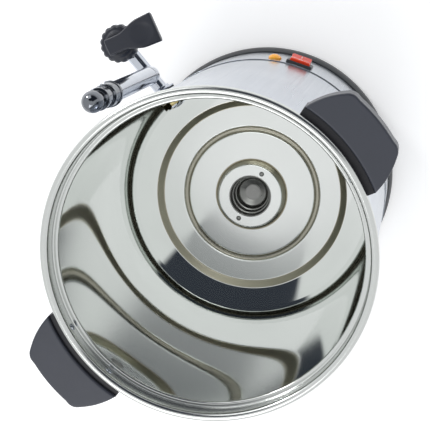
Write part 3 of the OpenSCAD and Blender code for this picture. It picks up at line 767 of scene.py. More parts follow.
def make_ring_tree():
    """Repeats a piece round +Z, in groups that stand at equal angles."""
    tree, w, given, out = node_tree("Ring of pieces", [
        ("Count", "NodeSocketInt", 2), ("Per group", "NodeSocketInt", 1),
        ("Start", "NodeSocketFloat", 0.0), ("Step", "NodeSocketFloat", 0.0),
        ("Group step", "NodeSocketFloat", math.pi), ("Material", "NodeSocketMaterial", None),
    ])
    points = w.add("GeometryNodePoints", Count=given.outputs["Count"])
    index = w.add("GeometryNodeInputIndex").outputs[0]
    group = w.math("FLOOR", w.math("DIVIDE", index, given.outputs["Per group"]))
    member = w.math("MODULO", index, given.outputs["Per group"])
    angle = w.math("MULTIPLY_ADD", member, given.outputs["Step"], given.outputs["Start"])
    angle = w.math("MULTIPLY_ADD", group, given.outputs["Group step"], angle)
    turn = w.add("ShaderNodeCombineXYZ", Z=angle)
    copies = w.add("GeometryNodeInstanceOnPoints")
    w.feed(copies.inputs["Points"], points.outputs[0])
    w.feed(copies.inputs["Instance"], given.outputs["Geometry"])
    w.feed(copies.inputs["Rotation"], turn.outputs[0])
    real = w.add("GeometryNodeRealizeInstances", Geometry=copies.outputs[0])
    coated = w.add(
        "GeometryNodeSetMaterial", Geometry=real.outputs[0], Material=given.outputs["Material"],
    )
    w.feed(out.inputs["Geometry"], coated.outputs[0])
    return tree


def run_tree(piece, name, maker, **values):
    """Runs a geometry tree on the piece with these inputs, and keeps the result."""
    tree = bpy.data.node_groups.get(name) or maker()
    modifier = piece.modifiers.new(name, "NODES")
    modifier.node_group = tree
    sockets = {s.name: s.identifier for s in tree.interface.items_tree if s.in_out == "INPUT"}
    for key, value in values.items():
        modifier[sockets[key.replace("_", " ")]] = value
    return apply_modifiers(piece)


def turned(name, outline, material, segments=96, closed=False, scallops=0, depth=0.0, sharp=38.0):
    """A piece turned round +Z from an outline in millimetres."""
    path = rounded(outline, closed)
    points = [(r, weight / MM, z) for r, z, weight in path]
    piece = bare_mesh(name, points, [(i, i + 1) for i in range(len(points) - 1)])
    run_tree(
        piece, "Turned piece", make_turned_tree, Segments=segments, Points=len(points),
        Scallops=scallops, Scallop_depth=depth * MM, Material=material,
    )
    return tidy_mesh(piece, sharp)


def ring_of(piece, material, **values):
    """Repeats a finished piece round the urn's axis."""
    run_tree(piece, "Ring of pieces", make_ring_tree, Material=material, **values)
    return tidy_mesh(piece)


def joined(pieces, name):
    """Several pieces as one."""
    bm = bmesh.new()
    for piece in pieces:
        bm.from_mesh(piece.data)
    whole = pieces[0]
    bm.to_mesh(whole.data)
    bm.free()
    for piece in pieces[1:]:
        bpy.data.objects.remove(piece)
    whole.name = name
    whole.data.shade_smooth()
    whole.data.set_sharp_from_angle(angle=math.radians(38))
    return whole


def loft(name, loops, material, sharp=38.0):
    """A closed skin through loops of equal length, in millimetres."""
    count = len(loops[0])
    points = [p for loop in loops for p in loop]
    faces = []
    for i in range(len(loops) - 1):
        for j in range(count):
            k = (j + 1) % count
            faces.append((i * count + j, i * count + k, (i + 1) * count + k, (i + 1) * count + j))
    faces.append(tuple(range(count)))
    faces.append(tuple(range(len(points) - count, len(points))))
    piece = bare_mesh(name, points, (), faces)
    return paint(tidy_mesh(piece, sharp), material)


def cut_away(piece, cutter):
    """Cuts one piece out of another."""
    modifier = piece.modifiers.new("Cut", "BOOLEAN")
    modifier.operation = "DIFFERENCE"
    modifier.solver = "EXACT"
    modifier.object = cutter
    apply_modifiers(piece)
    bpy.data.objects.remove(cutter)
    return tidy_mesh(piece)


def round_box(w, h, r, steps=5):
    """Corners-rounded rectangle as (across, up) points."""
    points = []
    for cx, cy, start in ((1, 1, 0), (-1, 1, 90), (-1, -1, 180), (1, -1, 270)):
        for k in range(steps + 1):
            a = math.radians(start + 90 * k / steps)
            points.append((cx * (w / 2 - r) + r * math.cos(a), cy * (h / 2 - r) + r * math.sin(a)))
    return points


def inset(loop, amount):
    """A flat loop moved inwards. The loop runs counter-clockwise."""
    moved = []
    count = len(loop)
    for i in range(count):
        here = Vector(loop[i])
        back = (here - Vector(loop[i - 1])).normalized()
        ahead = (Vector(loop[(i + 1) % count]) - here).normalized()
        side = Vector((-back.y - ahead.y, back.x + ahead.x)).normalized()
        across = max(0.35, side.dot(Vector((-back.y, back.x))))
        moved.append(tuple(here + side * amount / across))
    return moved


def bulge(p, q, height):
    """Points from p to q along a shallow curve that swells to the right of the way."""
    start, way = Vector(p), Vector(q) - Vector(p)
    side = Vector((way.y, -way.x)).normalized()
    steps = 12
    fractions = [i / steps for i in range(steps + 1)]
    return [tuple(start + way * t + side * 4 * height * t * (1 - t)) for t in fractions]


def arc(centre, radius, start, end, steps=10):
    """Points of an arc, with its angles in degrees."""
    angles = [math.radians(start + (end - start) * i / steps) for i in range(steps + 1)]
    return [(centre[0] + radius * math.cos(a), centre[1] + radius * math.sin(a)) for a in angles]


def shift(x=0.0, y=0.0, z=0.0):
    """A move in millimetres."""
    return Matrix.Translation(Vector((x, y, z)) * MM)


def turn_z(angle, x=0.0, z=0.0):
    """Turns about +Z by an angle in radians after a move in millimetres."""
    return Matrix.Rotation(angle, 4, "Z") @ shift(x, z=z)


def quarter(axis, side=1):
    """A quarter turn about an axis, which lays a turned piece down."""
    return Matrix.Rotation(side * math.pi / 2, 4, axis)


# ---- Pieces ----


class URN_OT_bowl(bpy.types.Operator):
    """Bowl wall with its rolled rim, the pressed floor, the boss and the pump well"""

    bl_idname = "urn.bowl"
    bl_label = "Bowl"

    def execute(self, context):
        shape = context.scene.urn_shape
        bead, sheet = shape.bead / MM, shape.sheet / MM
        collar_r = RIM_R - 2 * bead
        ledge_z = RIM_Z - shape.collar / MM
        bowl_r = collar_r - shape.ledge / MM
        bead_z = RIM_Z - bead
        steel = finish("Bowl steel")

        rim = ball_arc(RIM_R - bead, bead_z, bead, -150, 180, 40)
        outline = rim + [
            (collar_r, bead_z - 0.6, 0.0), (collar_r, ledge_z, 1.3), (bowl_r, ledge_z, 1.9),
            (bowl_r, FLOOR_Z - 10, 0.3), (bowl_r + sheet, FLOOR_Z - 10, 0.3),
            (bowl_r + sheet, ledge_z - sheet, 1.2), (collar_r + sheet, ledge_z - sheet, 0.4),
            (collar_r + sheet, bead_z - 1.4, 0.0),
        ]
        wall = turned("bowl", outline, steel, shape.segments, closed=True)
        dress(wall, "urn", "bowl_steel", "bowl_wall")

        floor_low = FLOOR_Z - 5
        edge = bowl_r - 0.1
        top = [
            (edge, FLOOR_Z - 10, 0.0), (edge, FLOOR_Z - 6.0, 0.9), (edge - 1.4, FLOOR_Z - 6.0, 0.8),
            (edge - 4.2, FLOOR_Z - 2.0, 2.0), (edge - 9, FLOOR_Z - 1.25, 6.0), (102, FLOOR_Z, 2.2),
            (95.5, floor_low, 2.2), (73.9, floor_low + 0.2, 1.6), (71.6, floor_low - 1.7, 1.6),
            (69.2, floor_low - 1.7, 1.6), (66.8, floor_low + 0.9, 1.6), (BOSS_R, BOSS_Z[0], 0.9),
            (BOSS_R - 5.5, BOSS_Z[0], 0.0),
        ]
        under = [(r - (0.8 if i < 3 else 0.0), z - (0.0 if i == 0 else sheet), 0.0)
                 for i, (r, z, _) in enumerate(top)][::-1]
        pan = finish("Floor steel")
        floor = turned("bowl_floor_pan", top + under, pan, shape.segments, closed=True)
        dress(floor, "urn", "bowl_steel", "bowl_floor")

        boss = turned("boss", [
            (BOSS_R, BOSS_Z[0], 0.3), (BOSS_R - 3.6, BOSS_Z[1], 1.5), (22.3, BOSS_Z[1], 0.3),
            (22.3, BOSS_Z[1] - 1, 0.0), (BOSS_R - 4.6, BOSS_Z[1] - 1, 0.0),
            (BOSS_R - 1.1, BOSS_Z[0], 0.0),
        ], pan, shape.segments, closed=True)
        dress(boss, "urn", "bowl_steel", "boss_cap")

        top_z = BOSS_Z[1]
        well = turned("well_cup", [
            (0.0, WELL_Z + 1.2, 0.0), (8, WELL_Z + 1.7, 6.0), (15.2, WELL_Z + 4.4, 3.0),
            (16.8, top_z - 17.7, 1.0), (18.0, top_z - 17.2, 0.8), (18.8, top_z - 16, 1.0),
            (18.8, top_z - 9.2, 0.8), (20.2, top_z - 8.7, 0.6), (21.0, top_z - 7.6, 0.8),
            (21.0, top_z - 0.6, 0.5), (21.4, top_z, 0.4), (22.2, top_z, 0.0),
            (22.2, top_z - 10, 0.0), (20.0, top_z - 10, 0.0), (20.0, top_z - 19, 0.0),
            (18.0, top_z - 19, 0.0), (18.0, WELL_Z + 4, 2.0), (0.0, WELL_Z, 0.0),
        ], finish("Well steel"), 144)
        dress(well, "urn", "well_steel", "pump_well")

        rivet = turned("boss_rivet_heads", [
            (0.0, 0.95, 0.0), (1.4, 0.95, 0.5), (2.2, 0.25, 0.5), (2.6, 0.0, 0.0), (2.6, -0.6, 0.0),
            (0.0, -0.6, 0.0),
        ], finish("Well steel"), 24)
        place_mesh(rivet, shift(27, 0, BOSS_Z[1]))
        ring_of(rivet, finish("Well steel"), Count=2, Start=math.radians(23), Group_step=math.pi)
        dress(rivet, "urn", "well_steel", "boss_rivets")
        return {"FINISHED"}


class URN_OT_shell(bpy.types.Operator):
    """Outer jacket, base skirt, base ring and foot ring"""

    bl_idname = "urn.shell"
    bl_label = "Shell and base"

    def execute(self, context):
        shape = context.scene.urn_shape
        sheet = shape.sheet / MM
        steel = finish("Jacket steel")
        lo, hi = JACKET_Z
        jacket = turned("jacket", [
            (JACKET_R, hi, 0.2), (JACKET_R - sheet, hi, 0.2), (JACKET_R - sheet, lo, 0.2),
            (JACKET_R, lo, 0.35),
        ], steel, shape.segments, closed=True)
        dress(jacket, "urn", "jacket_steel", "outer_jacket")

        lo, hi = SKIRT_Z
        skirt = turned("skirt", [
            (SKIRT_R, hi, 0.5), (SKIRT_R - sheet, hi, 0.2), (SKIRT_R - sheet, lo, 0.2),
            (SKIRT_R, lo, 0.2),
        ], steel, shape.segments, closed=True)
        dress(skirt, "urn", "jacket_steel", "base_skirt")

        lo, hi = RING_Z
        ribs = []
        for z in (hi - 5.4, hi - 9.6):
            r = RING_R - (0.9 if z > hi - 8 else 0.25)
            ribs += [(r, z + 0.5, 0.2), (r - 0.45, z + 0.25, 0.15), (r - 0.45, z - 0.25, 0.15),
                     (r + 0.1, z - 0.5, 0.2)]
        ring = turned("base_band", [
            (SKIRT_R, hi, 0.2), (SKIRT_R + 0.9, hi, 0.4), (SKIRT_R + 2.4, hi - 2.6, 1.2), *ribs,
            (RING_R, hi * 0.42, 3.0), (RING_R, lo + 1.4, 0.9), (RING_R - 1.3, lo, 0.7),
            (130.8, lo, 0.4), (130.8, lo + 2, 0.4), (138, lo + 2, 0.0), (138, lo + 6, 0.0),
            (SKIRT_R, lo + 6, 0.0),
        ], finish("Ring moulding"), shape.segments, closed=True)
        dress(ring, "urn", "black_plastic", "base_ring")

        foot_out = reach("foot_ring")
        foot_in = foot_out - 5.2
        foot = turned("rubber_foot", [
            (foot_in, lo, 0.0), (foot_in, 0.0, 0.5), (foot_in + 1.6, 0.0, 0.2),
            (foot_in + 1.9, 0.5, 0.2), (foot_in + 3.2, 0.5, 0.2), (foot_in + 3.5, 0.0, 0.2),
            (foot_out, 0.0, 0.5), (foot_out, lo, 0.0),
        ], finish("Black rubber"), shape.segments, closed=True)
        dress(foot, "urn", "black_rubber", "foot_ring")
        return {"FINISHED"}


def grip_outline(inset=0.0):
    """The grip seen from above, counter-clockwise, drawn in from its edge by the inset."""
    half, edge, corner = GRIP_W / 2, GRIP_REACH - 1.6, 11.0
    cx, cy = edge - corner, half * 0.52
    w, edge, corner = half - inset, edge - inset, corner - inset
    root = NECK_R - 0.6 + inset
    low_turn = math.radians(-62)
    lower = bulge(
        (math.sqrt(root ** 2 - w ** 2), -w),
        (cx + corner * math.cos(low_turn), -cy + corner * math.sin(low_turn)), 2.2,
    ) + arc((cx, -cy), corner, -58, -8)
    upper = [(x, -y) for x, y in reversed(lower)]
    spread = math.degrees(math.asin(w / root))
    inner = arc((0, 0), root, spread, -spread, 30)[1:-1]
    return lower + bulge((edge, -cy + 3), (edge, cy - 3), 1.6) + upper + inner


class URN_OT_handles(bpy.types.Operator):
    """Both handles with their necks, and the four screws inside the collar"""

    bl_idname = "urn.handles"
    bl_label = "Handles"

    def execute(self, context):
        grip_low = GRIP_TOP - 28
        round_top, round_lip = 2.0, 2.2
        skin = [(GRIP_TOP, 4.0), (GRIP_TOP, 3.0)]
        skin += [(GRIP_TOP - round_top * (1 - math.cos(a)), round_top * (1 - math.sin(a)))
                 for a in (math.radians(90 * k / 8) for k in range(9))]
        skin += [(GRIP_TOP - round_top - 1, 0.0), (GRIP_TOP - 14, 0.35), (grip_low + 4, 0.0)]
        skin += [(grip_low + round_lip * (1 - math.sin(a)), round_lip * (1 - math.cos(a)))
                 for a in (math.radians(90 * k / 6) for k in range(7))]
        skin += [(grip_low, 3.4), (grip_low + 1.4, 5.2), (grip_low + 4, 5.6), (GRIP_TOP - 9, 6.2),
                 (GRIP_TOP - 6.6, 7.4), (GRIP_TOP - 6, 9.5)]
        loops = [[(x, y, z) for x, y in grip_outline(depth)] for z, depth in skin]
        for hand, turn in (("right", 0.0), ("left", math.pi)):
            grip = loft("grip_" + hand, loops, finish("Grip moulding"))
            for piece in (grip, self.neck("neck_" + hand)):
                place_mesh(piece, turn_z(turn))
                dress(piece, "urn", "handle_plastic", "handle_" + hand)

        head = turned("collar_screws", [
            (0.0, 1.55, 0.0), (1.7, 1.45, 0.8), (2.9, 0.9, 0.8), (3.4, 0.1, 0.2), (3.4, -0.4, 0.0),
            (0.0, -0.4, 0.0),
        ], finish("Chrome"), 40)
        for turn in (0.0, math.pi / 2):
            slot = loft("slot", [
                [(x, y, z) for x, y in round_box(3.6, 0.8, 0.2, 2)] for z in (0.7, 2.5)
            ], finish("Chrome"))
            place_mesh(slot, Matrix.Rotation(turn, 4, "Z"))
            cut_away(head, slot)
        collar_r = RIM_R - 2 * context.scene.urn_shape.bead / MM
        screw = middle("handle_screws")
        place_mesh(head, shift(collar_r, 0, screw.z) @ quarter("Y", -1))
        ring_of(
            head, finish("Chrome"), Count=4, Per_group=2, Start=math.radians(-10.5),
            Step=math.radians(21), Group_step=math.pi,
        )
        dress(head, "urn", "plain_steel", "handle_screws")
        return {"FINISHED"}

    def neck(self, name):
        """The mounting pad that follows the jacket below the rim, coloured near-black as painted
        shade.
        """
        lo, hi = GRIP_TOP - 36.5, GRIP_TOP - 3.5
        inner, outer = JACKET_R + 0.1, NECK_R
        half = math.asin((GRIP_W / 2 - 1.5) / (outer - 3))
        section = round_box(outer - inner, hi - lo, 1.3, 4)
        middle_r, middle_z = (inner + outer) / 2, (lo + hi) / 2
        loops = []
        steps = 44
        for i in range(-3, steps + 4):
            t = min(max(i, 0), steps) / steps
            beyond = max(0, -i, i - steps)
            shrink = 1 - math.cos(math.radians(30 * beyond))
            extra = math.sin(math.radians(30 * beyond)) / outer
            a = -half + 2 * half * t + (1 if i > 0 else -1) * extra
            loop = []
            for u, v in section:
                u -= math.copysign(min(shrink, abs(u)), u)
                v -= math.copysign(min(shrink, abs(v)), v)
                r = middle_r + u
                loop.append((r * math.cos(a), r * math.sin(a), middle_z + v))
            loops.append(loop)
        return loft(name, loops, finish("Neck moulding"))


def lever_half_width(d):
    """Half of the lever's width at a distance from the stem towards the wide end."""
    t = min(max((d - 7) / 24, 0.0), 1.0)
    flare = t * t * (3 - 2 * t) * 0.8 + t * 0.2
    return 8.8 + 6.6 * flare + 0.6 * min(max((d - 31) / 16, 0.0), 1.0)


class URN_OT_tap(bpy.types.Operator):
    """Shank, tee, valve body with its spout, scalloped bonnet, washer, pin and lever"""

    bl_idname = "urn.tap"
    bl_label = "Tap"

    def execute(self, context):
        shape = context.scene.urn_shape
        plate = finish("Chrome")
        on_tap = shift(y=STEM.y)
        inner_y, outer_y = span("tap_shank")[1].y, STEM.y + 12.6
        pad = -JACKET_R - 2.2

        along = [(4.5, inner_y, 0.3), (7.5, inner_y, 0.5), (7.5, pad + 0.2, 0.2), (14, pad, 0.4),
                 (14, pad - 1.6, 0.9), (10, pad - 2.6, 0.8), (9.5, pad - 5, 0.8),
                 (7.5, pad - 5.4, 0.6),
                 (7.5, outer_y + 3, 0.6), (8.8, outer_y + 2.4, 0.5), (8.8, outer_y, 0.3),
                 (4.5, outer_y, 0.0)]
        shank = turned("shank", along, plate, 72, closed=True)
        place_mesh(shank, shift(z=TAP_Z) @ quarter("X", -1))
        r, tee_top = SHIELD_R + 0.3, SHIELD_Z[0] - TAP_Z
        tee = turned("tee", ball_arc(0, 0, r, -90, 0, 16) + [
            (r, tee_top - 4.4, 0.2), (r - 0.5, tee_top - 4.0, 0.2),
            (r, tee_top - 3.6, 0.2), (r, tee_top, 0.4), (0.0, tee_top, 0.0),
        ], plate, 72)
        place_mesh(tee, shift(y=GAUGE.y, z=TAP_Z))
        dress(joined([shank, tee], "tap_pipe"), "urn", "chrome_plate", "tap_shank")

        z = TAP_Z
        valve = turned("valve_body", [
            (11, z + 15, 0.3), (13.5, z + 15, 0.4), (13.5, z - 13, 2.5), (9.5, z - 22, 4.0),
            (9.5, z - 43.5, 0.8), (10.7, z - 45, 0.6), (10.7, z - 48, 0.8), (7, z - 48, 0.5),
            (7, z - 10, 0.3), (5.5, z - 10, 0.0), (5.5, z - 7, 0.3), (11, z - 7, 0.3),
        ], plate, 96, closed=True)
        place_mesh(valve, on_tap)
        dress(valve, "urn", "chrome_plate", "tap_body")

        lo, hi = BONNET_Z
        bonnet_r = width("tap_bonnet") / 2
        bonnet = turned("bonnet", [
            (13.6, lo, 0.2, 0.0), (bonnet_r - 1.4, lo, 0.6, 0.5), (bonnet_r, lo + 1.4, 0.8, 1.0),
            (bonnet_r, lo + 10.5, 1.6, 1.0), (bonnet_r - 2.4, lo + 13.6, 1.6, 0.6),
            (14.6, lo + 14, 0.6, 0.0), (13.8, lo + 14.6, 0.4, 0.0), (12, hi, 0.7, 0.0),
            (3.05, hi, 0.2, 0.0), (3.05, hi - 4, 0.0, 0.0), (8, hi - 4, 0.0, 0.0),
            (8, hi - 8, 0.0, 0.0), (13.6, hi - 8, 0.0, 0.0),
        ], finish("Tap moulding"), 192, closed=True, scallops=shape.lobes, depth=1.3, sharp=50.0)
        place_mesh(bonnet, on_tap)
        dress(bonnet, "urn", "tap_plastic", "tap_bonnet")

        wlo, whi = heights("cam_washer")
        washer = turned("lever_washer", [
            (3.05, wlo, 0.0), (11, wlo, 0.2), (11, whi, 0.35), (3.05, whi, 0.2),
        ], finish("Tap moulding"), 72, closed=True)
        place_mesh(washer, on_tap)
        dress(washer, "swivel", "chrome_plate", "cam_washer")

        half = 7.75
        pin = turned("pivot_pin", [
            (0.0, -half, 0.0), (1.5, -half, 0.3), (1.5, half, 0.3), (0.0, half, 0.0),
        ], plate, 32)
        place_mesh(pin, on_tap @ turn_z(LEVER_TURN, z=PIN_Z) @ quarter("X"))
        dress(pin, "stem", "plain_steel", "lever_pin")

        self.lever(shape, on_tap)
        return {"FINISHED"}

    def lever(self, shape, on_tap):
        """The paddle, from its narrow end to its wide end."""
        heel, crown = heights("tap_lever")
        back, front = -9.6, 47.0
        dimple = shape.dimple / MM
        edge = 1.8

        def crown_at(d):
            return crown - 2.2 * (1 - min(max((d + 9.6) / 32, 0), 1)) ** 1.4

        def floor_at(d):
            t = min(max((d - 9.6) / 4, 0), 1)
            return heel + 3.0 * t * t * (3 - 2 * t)

        # How far in from the end, and how much thinner, at each step of the rounded ends
        ends = [(edge * (1 - math.cos(a)), edge * (1 - math.sin(a)))
                for a in (math.radians(step) for step in (10, 30, 50, 70, 90))]
        inner = 46
        length = front - back - 2 * edge
        stations = [(back + d, shrink) for d, shrink in ends]
        stations += [(back + edge + length * i / inner, 0.0) for i in range(1, inner)]
        stations += [(front - d, shrink) for d, shrink in reversed(ends)]
        loops = []
        for d, shrink in stations:
            w = lever_half_width(d) - shrink
            top, low_z = crown_at(d) - shrink, floor_at(d) + shrink
            r = 1.7 - 0.5 * shrink / edge
            loop = [(d, -w, low_z + r), (d, -w, top - r)]
            loop += [(d, -w + r - r * math.cos(a), top - r + r * math.sin(a))
                     for a in (math.radians(18 * k) for k in range(1, 5))]
            for k in range(17):
                y = (-w + r) + 2 * (w - r) * k / 16
                near = math.hypot((d - 31) / 12.5, y / 10.5)
                dip = dimple * (1 - near ** 2) ** 0.6 if near < 1 else 0.0
                dip *= 0.35 + 0.65 * min(max((d - 20) / 20, 0), 1)
                loop.append((d, y, top - dip))
            loop += [(d, w - r + r * math.sin(a), top - r + r * math.cos(a))
                     for a in (math.radians(18 * k) for k in range(1, 5))]
            loop += [(d, w, top - r), (d, w, low_z + r), (d, w - r, low_z), (d, -w + r, low_z)]
            loops.append(loop)
        lever = loft("lever", loops, finish("Tap moulding"), 42)
        well = loft("slot", [
            [(x, y, z) for x, y in round_box(10.8, 6.6, 1.5, 4)] for z in (heel - 2, heel + 10.6)
        ], finish("Tap moulding"))
        cut_away(lever, well)
        bore = turned("bore", [
            (0, -7.9, 0), (1.56, -7.9, 0), (1.56, 7.9, 0), (0, 7.9, 0),
        ], finish("Tap moulding"), 24)
        place_mesh(bore, shift(z=PIN_Z) @ quarter("X"))
        cut_away(lever, bore)
        paint(lever, finish("Tap moulding"))
        place_mesh(lever, on_tap @ turn_z(LEVER_TURN))
        dress(lever, "lever", "tap_plastic", "tap_lever")


class URN_OT_gauge(bpy.types.Operator):
    """Slotted shield, glass tube and ball cap of the sight gauge"""

    bl_idname = "urn.gauge"
    bl_label = "Sight gauge"

    def execute(self, context):
        plate = finish("Chrome")
        there = shift(y=GAUGE.y)
        lo, hi = SHIELD_Z
        shield = turned("gauge_guard", [
            (SHIELD_R, lo, 0.2), (SHIELD_R, hi, 0.2), (SHIELD_R - 1.2, hi, 0.2),
            (SHIELD_R - 1.2, lo, 0.2),
        ], plate, 96, closed=True)
        length = hi - lo - 22
        slit = loft("slit", [
            [(x, y, z) for x, z in round_box(6, length, 2.9, 8)] for y in (-SHIELD_R - 2, -2)
        ], plate)
        place_mesh(slit, shift(z=(lo + hi) / 2))
        cut_away(shield, slit)
        paint(shield, plate)
        place_mesh(shield, there)
        dress(shield, "urn", "chrome_plate", "gauge_shield")

        glo, ghi = heights("gauge_glass")
        tube = turned("gauge_tube", [
            (6, glo, 0.3), (6, ghi, 0.3), (4.8, ghi, 0.3), (4.8, glo, 0.3),
        ], finish("Tube glass"), 64, closed=True)
        place_mesh(tube, there)
        dress(tube, "urn", "clear_glass", "gauge_glass")

        z, s = hi, SHIELD_R
        ball = 10.0
        ball_z = CAP_TOP - ball
        neck = ball * 0.72
        lift = math.acos(neck / ball)
        neck_z = ball_z - ball * math.sin(lift) - 0.8
        cap = turned("ball_cap", [
            (6.1, z, 0.0), (s + 2.4, z, 0.7), (s + 2.4, z + 5, 0.9), (s + 1.5, z + 5.6, 0.3),
            (s + 0.6, z + 18, 0.6), (s + 1.2, z + 19, 0.4), (s + 1.2, z + 22.5, 0.8),
            (s - 0.6, z + 23.2, 0.4), (s - 0.6, z + 42, 0.5), (s + 0.6, z + 42.8, 0.4),
            (s + 0.6, z + 48, 0.8), (neck + 0.6, z + 49, 0.4), (neck, neck_z, 0.4),
        ] + ball_arc(0, ball_z, ball, -math.degrees(lift), 90, 28), finish("Dark plating"), 96)
        place_mesh(cap, there)
        dress(cap, "urn", "chrome_plate", "gauge_cap")
        return {"FINISHED"}


class URN_OT_controls(bpy.types.Operator):
    """Rocker switch with its frame and marks, and the lamp"""

    bl_idname = "urn.controls"
    bl_label = "Switch and lamp"

    def execute(self, context):
        black = finish("Ring moulding")
        panel = turn_z(SWITCH_TURN, z=PANEL_Z)
        wide, tall = 22.0, 17.8
        front = SKIRT_R + 2.2
        rings = [
            (SKIRT_R - 24, 26.6, 21.6, 0.8), (SKIRT_R - 1.2, 26.6, 21.6, 0.8),
            (SKIRT_R - 0.9, 29, 25, 1.6), (front - 0.9, 29, 25, 1.6),
            (front - 0.3, 28.6, 24.6, 1.6), (front, 27.8, 23.8, 1.4), (front, 23.4, 21.2, 0.6),
            (front - 0.5, 22.5, 20.3, 0.5), (SKIRT_R - 11, 22.4, 20.2, 0.5),
        ]
        loops = [[(x, y, z) for y, z in round_box(w, h, r, 5)] for x, w, h, r in rings]
        bezel = loft("switch_frame", loops, black)
        place_mesh(bezel, panel)
        dress(bezel, "urn", "black_plastic", "switch_housing")

        red = finish("Rocker moulding")
        half = tall / 2
        dish = 1.8
        face = rounded([
            (-6, -half + 1.6, 0.6), (ROCKER_FRONT, -half, 1.1), (ROCKER_FRONT - dish, 0, 5.0),
            (ROCKER_FRONT, half, 1.1),
            (-6, half - 1.6, 0.6),
        ], closed=True)[:-1]
        face = [(x, z) for x, z, _ in face]
        ends = [(-wide / 2, 0.7), (-wide / 2 + 0.2, 0.25), (-wide / 2 + 0.7, 0.0),
                (wide / 2 - 0.7, 0.0), (wide / 2 - 0.2, 0.25), (wide / 2, 0.7)]
        loops = [[(x, y, z) for x, z in inset(face, depth)] for y, depth in ends]
        rocker = loft("rocker", loops, red)
        tilt = Matrix.Rotation(math.radians(-12), 4, "Y")
        seat = turn_z(SWITCH_TURN, x=ROCKER_X, z=PANEL_Z) @ tilt
        place_mesh(rocker, seat)
        dress(rocker, "rocker", "red_plastic", "switch_rocker")
        self.marks(seat, half, dish)

        r, dome = 7.2, 3.6
        globe = (r * r + dome * dome) / (2 * dome)
        start = math.degrees(math.asin(1 - dome / globe))
        amber = finish("Lamp lens")
        lens = turned("lamp_dome", [
            (0.0, -4, 0.0), (6, -4, 0.3), (6, 0.0, 0.0), (r, 0.0, 0.0), (r, 1.2, 0.3),
        ] + ball_arc(0, 1.3 + dome - globe, globe, start, 90, 14), amber, 48, sharp=30.0)
        place_mesh(lens, turn_z(LAMP_TURN, x=SKIRT_R, z=PANEL_Z) @ quarter("Y"))
        dress(lens, "urn", "amber_lens", "lamp_lens")
        return {"FINISHED"}

    def marks(self, seat, half, dish):
        """The ring and the bar printed on the rocker's two faces."""
        ink = finish("Mark ink")
        slope = math.atan2(dish, half)
        ring = turned("off_mark", [
            (1.6, -0.15, 0.0), (2.5, -0.15, 0.0), (2.5, 0.08, 0.03), (1.6, 0.08, 0.03),
        ], ink, 40, closed=True)
        bar = loft("on_mark", [
            [(x, y, z) for x, y in round_box(3.6 - 2 * d, 0.9 - 2 * d, 0.15, 2)]
            for z, d in ((-0.15, 0.0), (0.05, 0.0), (0.08, 0.04))
        ], ink)
        height = 0.52
        for mark, side in ((ring, 1), (bar, -1)):
            lie = Matrix.Rotation(side * slope, 4, "Y") @ quarter("Y")
            at = shift(ROCKER_FRONT - dish + dish * height, 0, side * half * height)
            place_mesh(mark, seat @ at @ lie)
            dress(mark, "rocker", "pale_plastic")


class URN_OT_fittings(bpy.types.Operator):
    """Finishes on the small and hidden parts that keep their own meshes"""

    bl_idname = "urn.fittings"
    bl_label = "Fittings"

    def execute(self, context):
        nodes = {
            "Zinc": ("base_plate", "plate_screws", "heater_clamp", "heater_nuts", "tap_spring"),
            "Plated brass": ("inlet_blades", "shank_nut", "tap_stem"),
            "Pale moulding": ("cutoff_thermostat", "terminal_block", "lamp_body"),
            "Brown moulding": ("boil_thermostat",),
            "Silicone": ("inner_gasket", "seat_cup"),
            "Cast aluminium": ("heater_plate",),
            "Element sheath": ("heater_element",),
            "Ring moulding": ("waist_ring", "power_inlet"),
            "Black rubber": ("outer_gasket", "gauge_seals"),
        }
        for name, hidden in nodes.items():
            for node in hidden:
                piece = frame["nodes"][node]
                if not piece.material_slots:
                    piece.data.materials.append(finish(name))
                for place in piece.material_slots:
                    place.material = finish(name)
        return {"FINISHED"}


# The camera: where it stands, where it looks and which way is up, in metres
EYE = (-0.3029, -0.0827, 1.559)
SIGHT = (0.2404, 0.052, -0.9693)
UPRIGHT = (-0.6098, -0.7688, -0.1925)
LENS, SENSOR = 112.37, 36
GROUND_HALF = 4.0
# The dark part of the sky: its side, and where it sets in on a ceiling one unit up
DARK_WAY = (-0.70, -0.71)
DARK_FROM = (0.288, 0.312)
DARK_LEAN = (0.56, 0.62)
DARK_RISE = (0.10, 0.30)
BRIGHT, DARK = (0.93, 0.94, 0.95, 1.0), (0.045, 0.052, 0.068, 1.0)


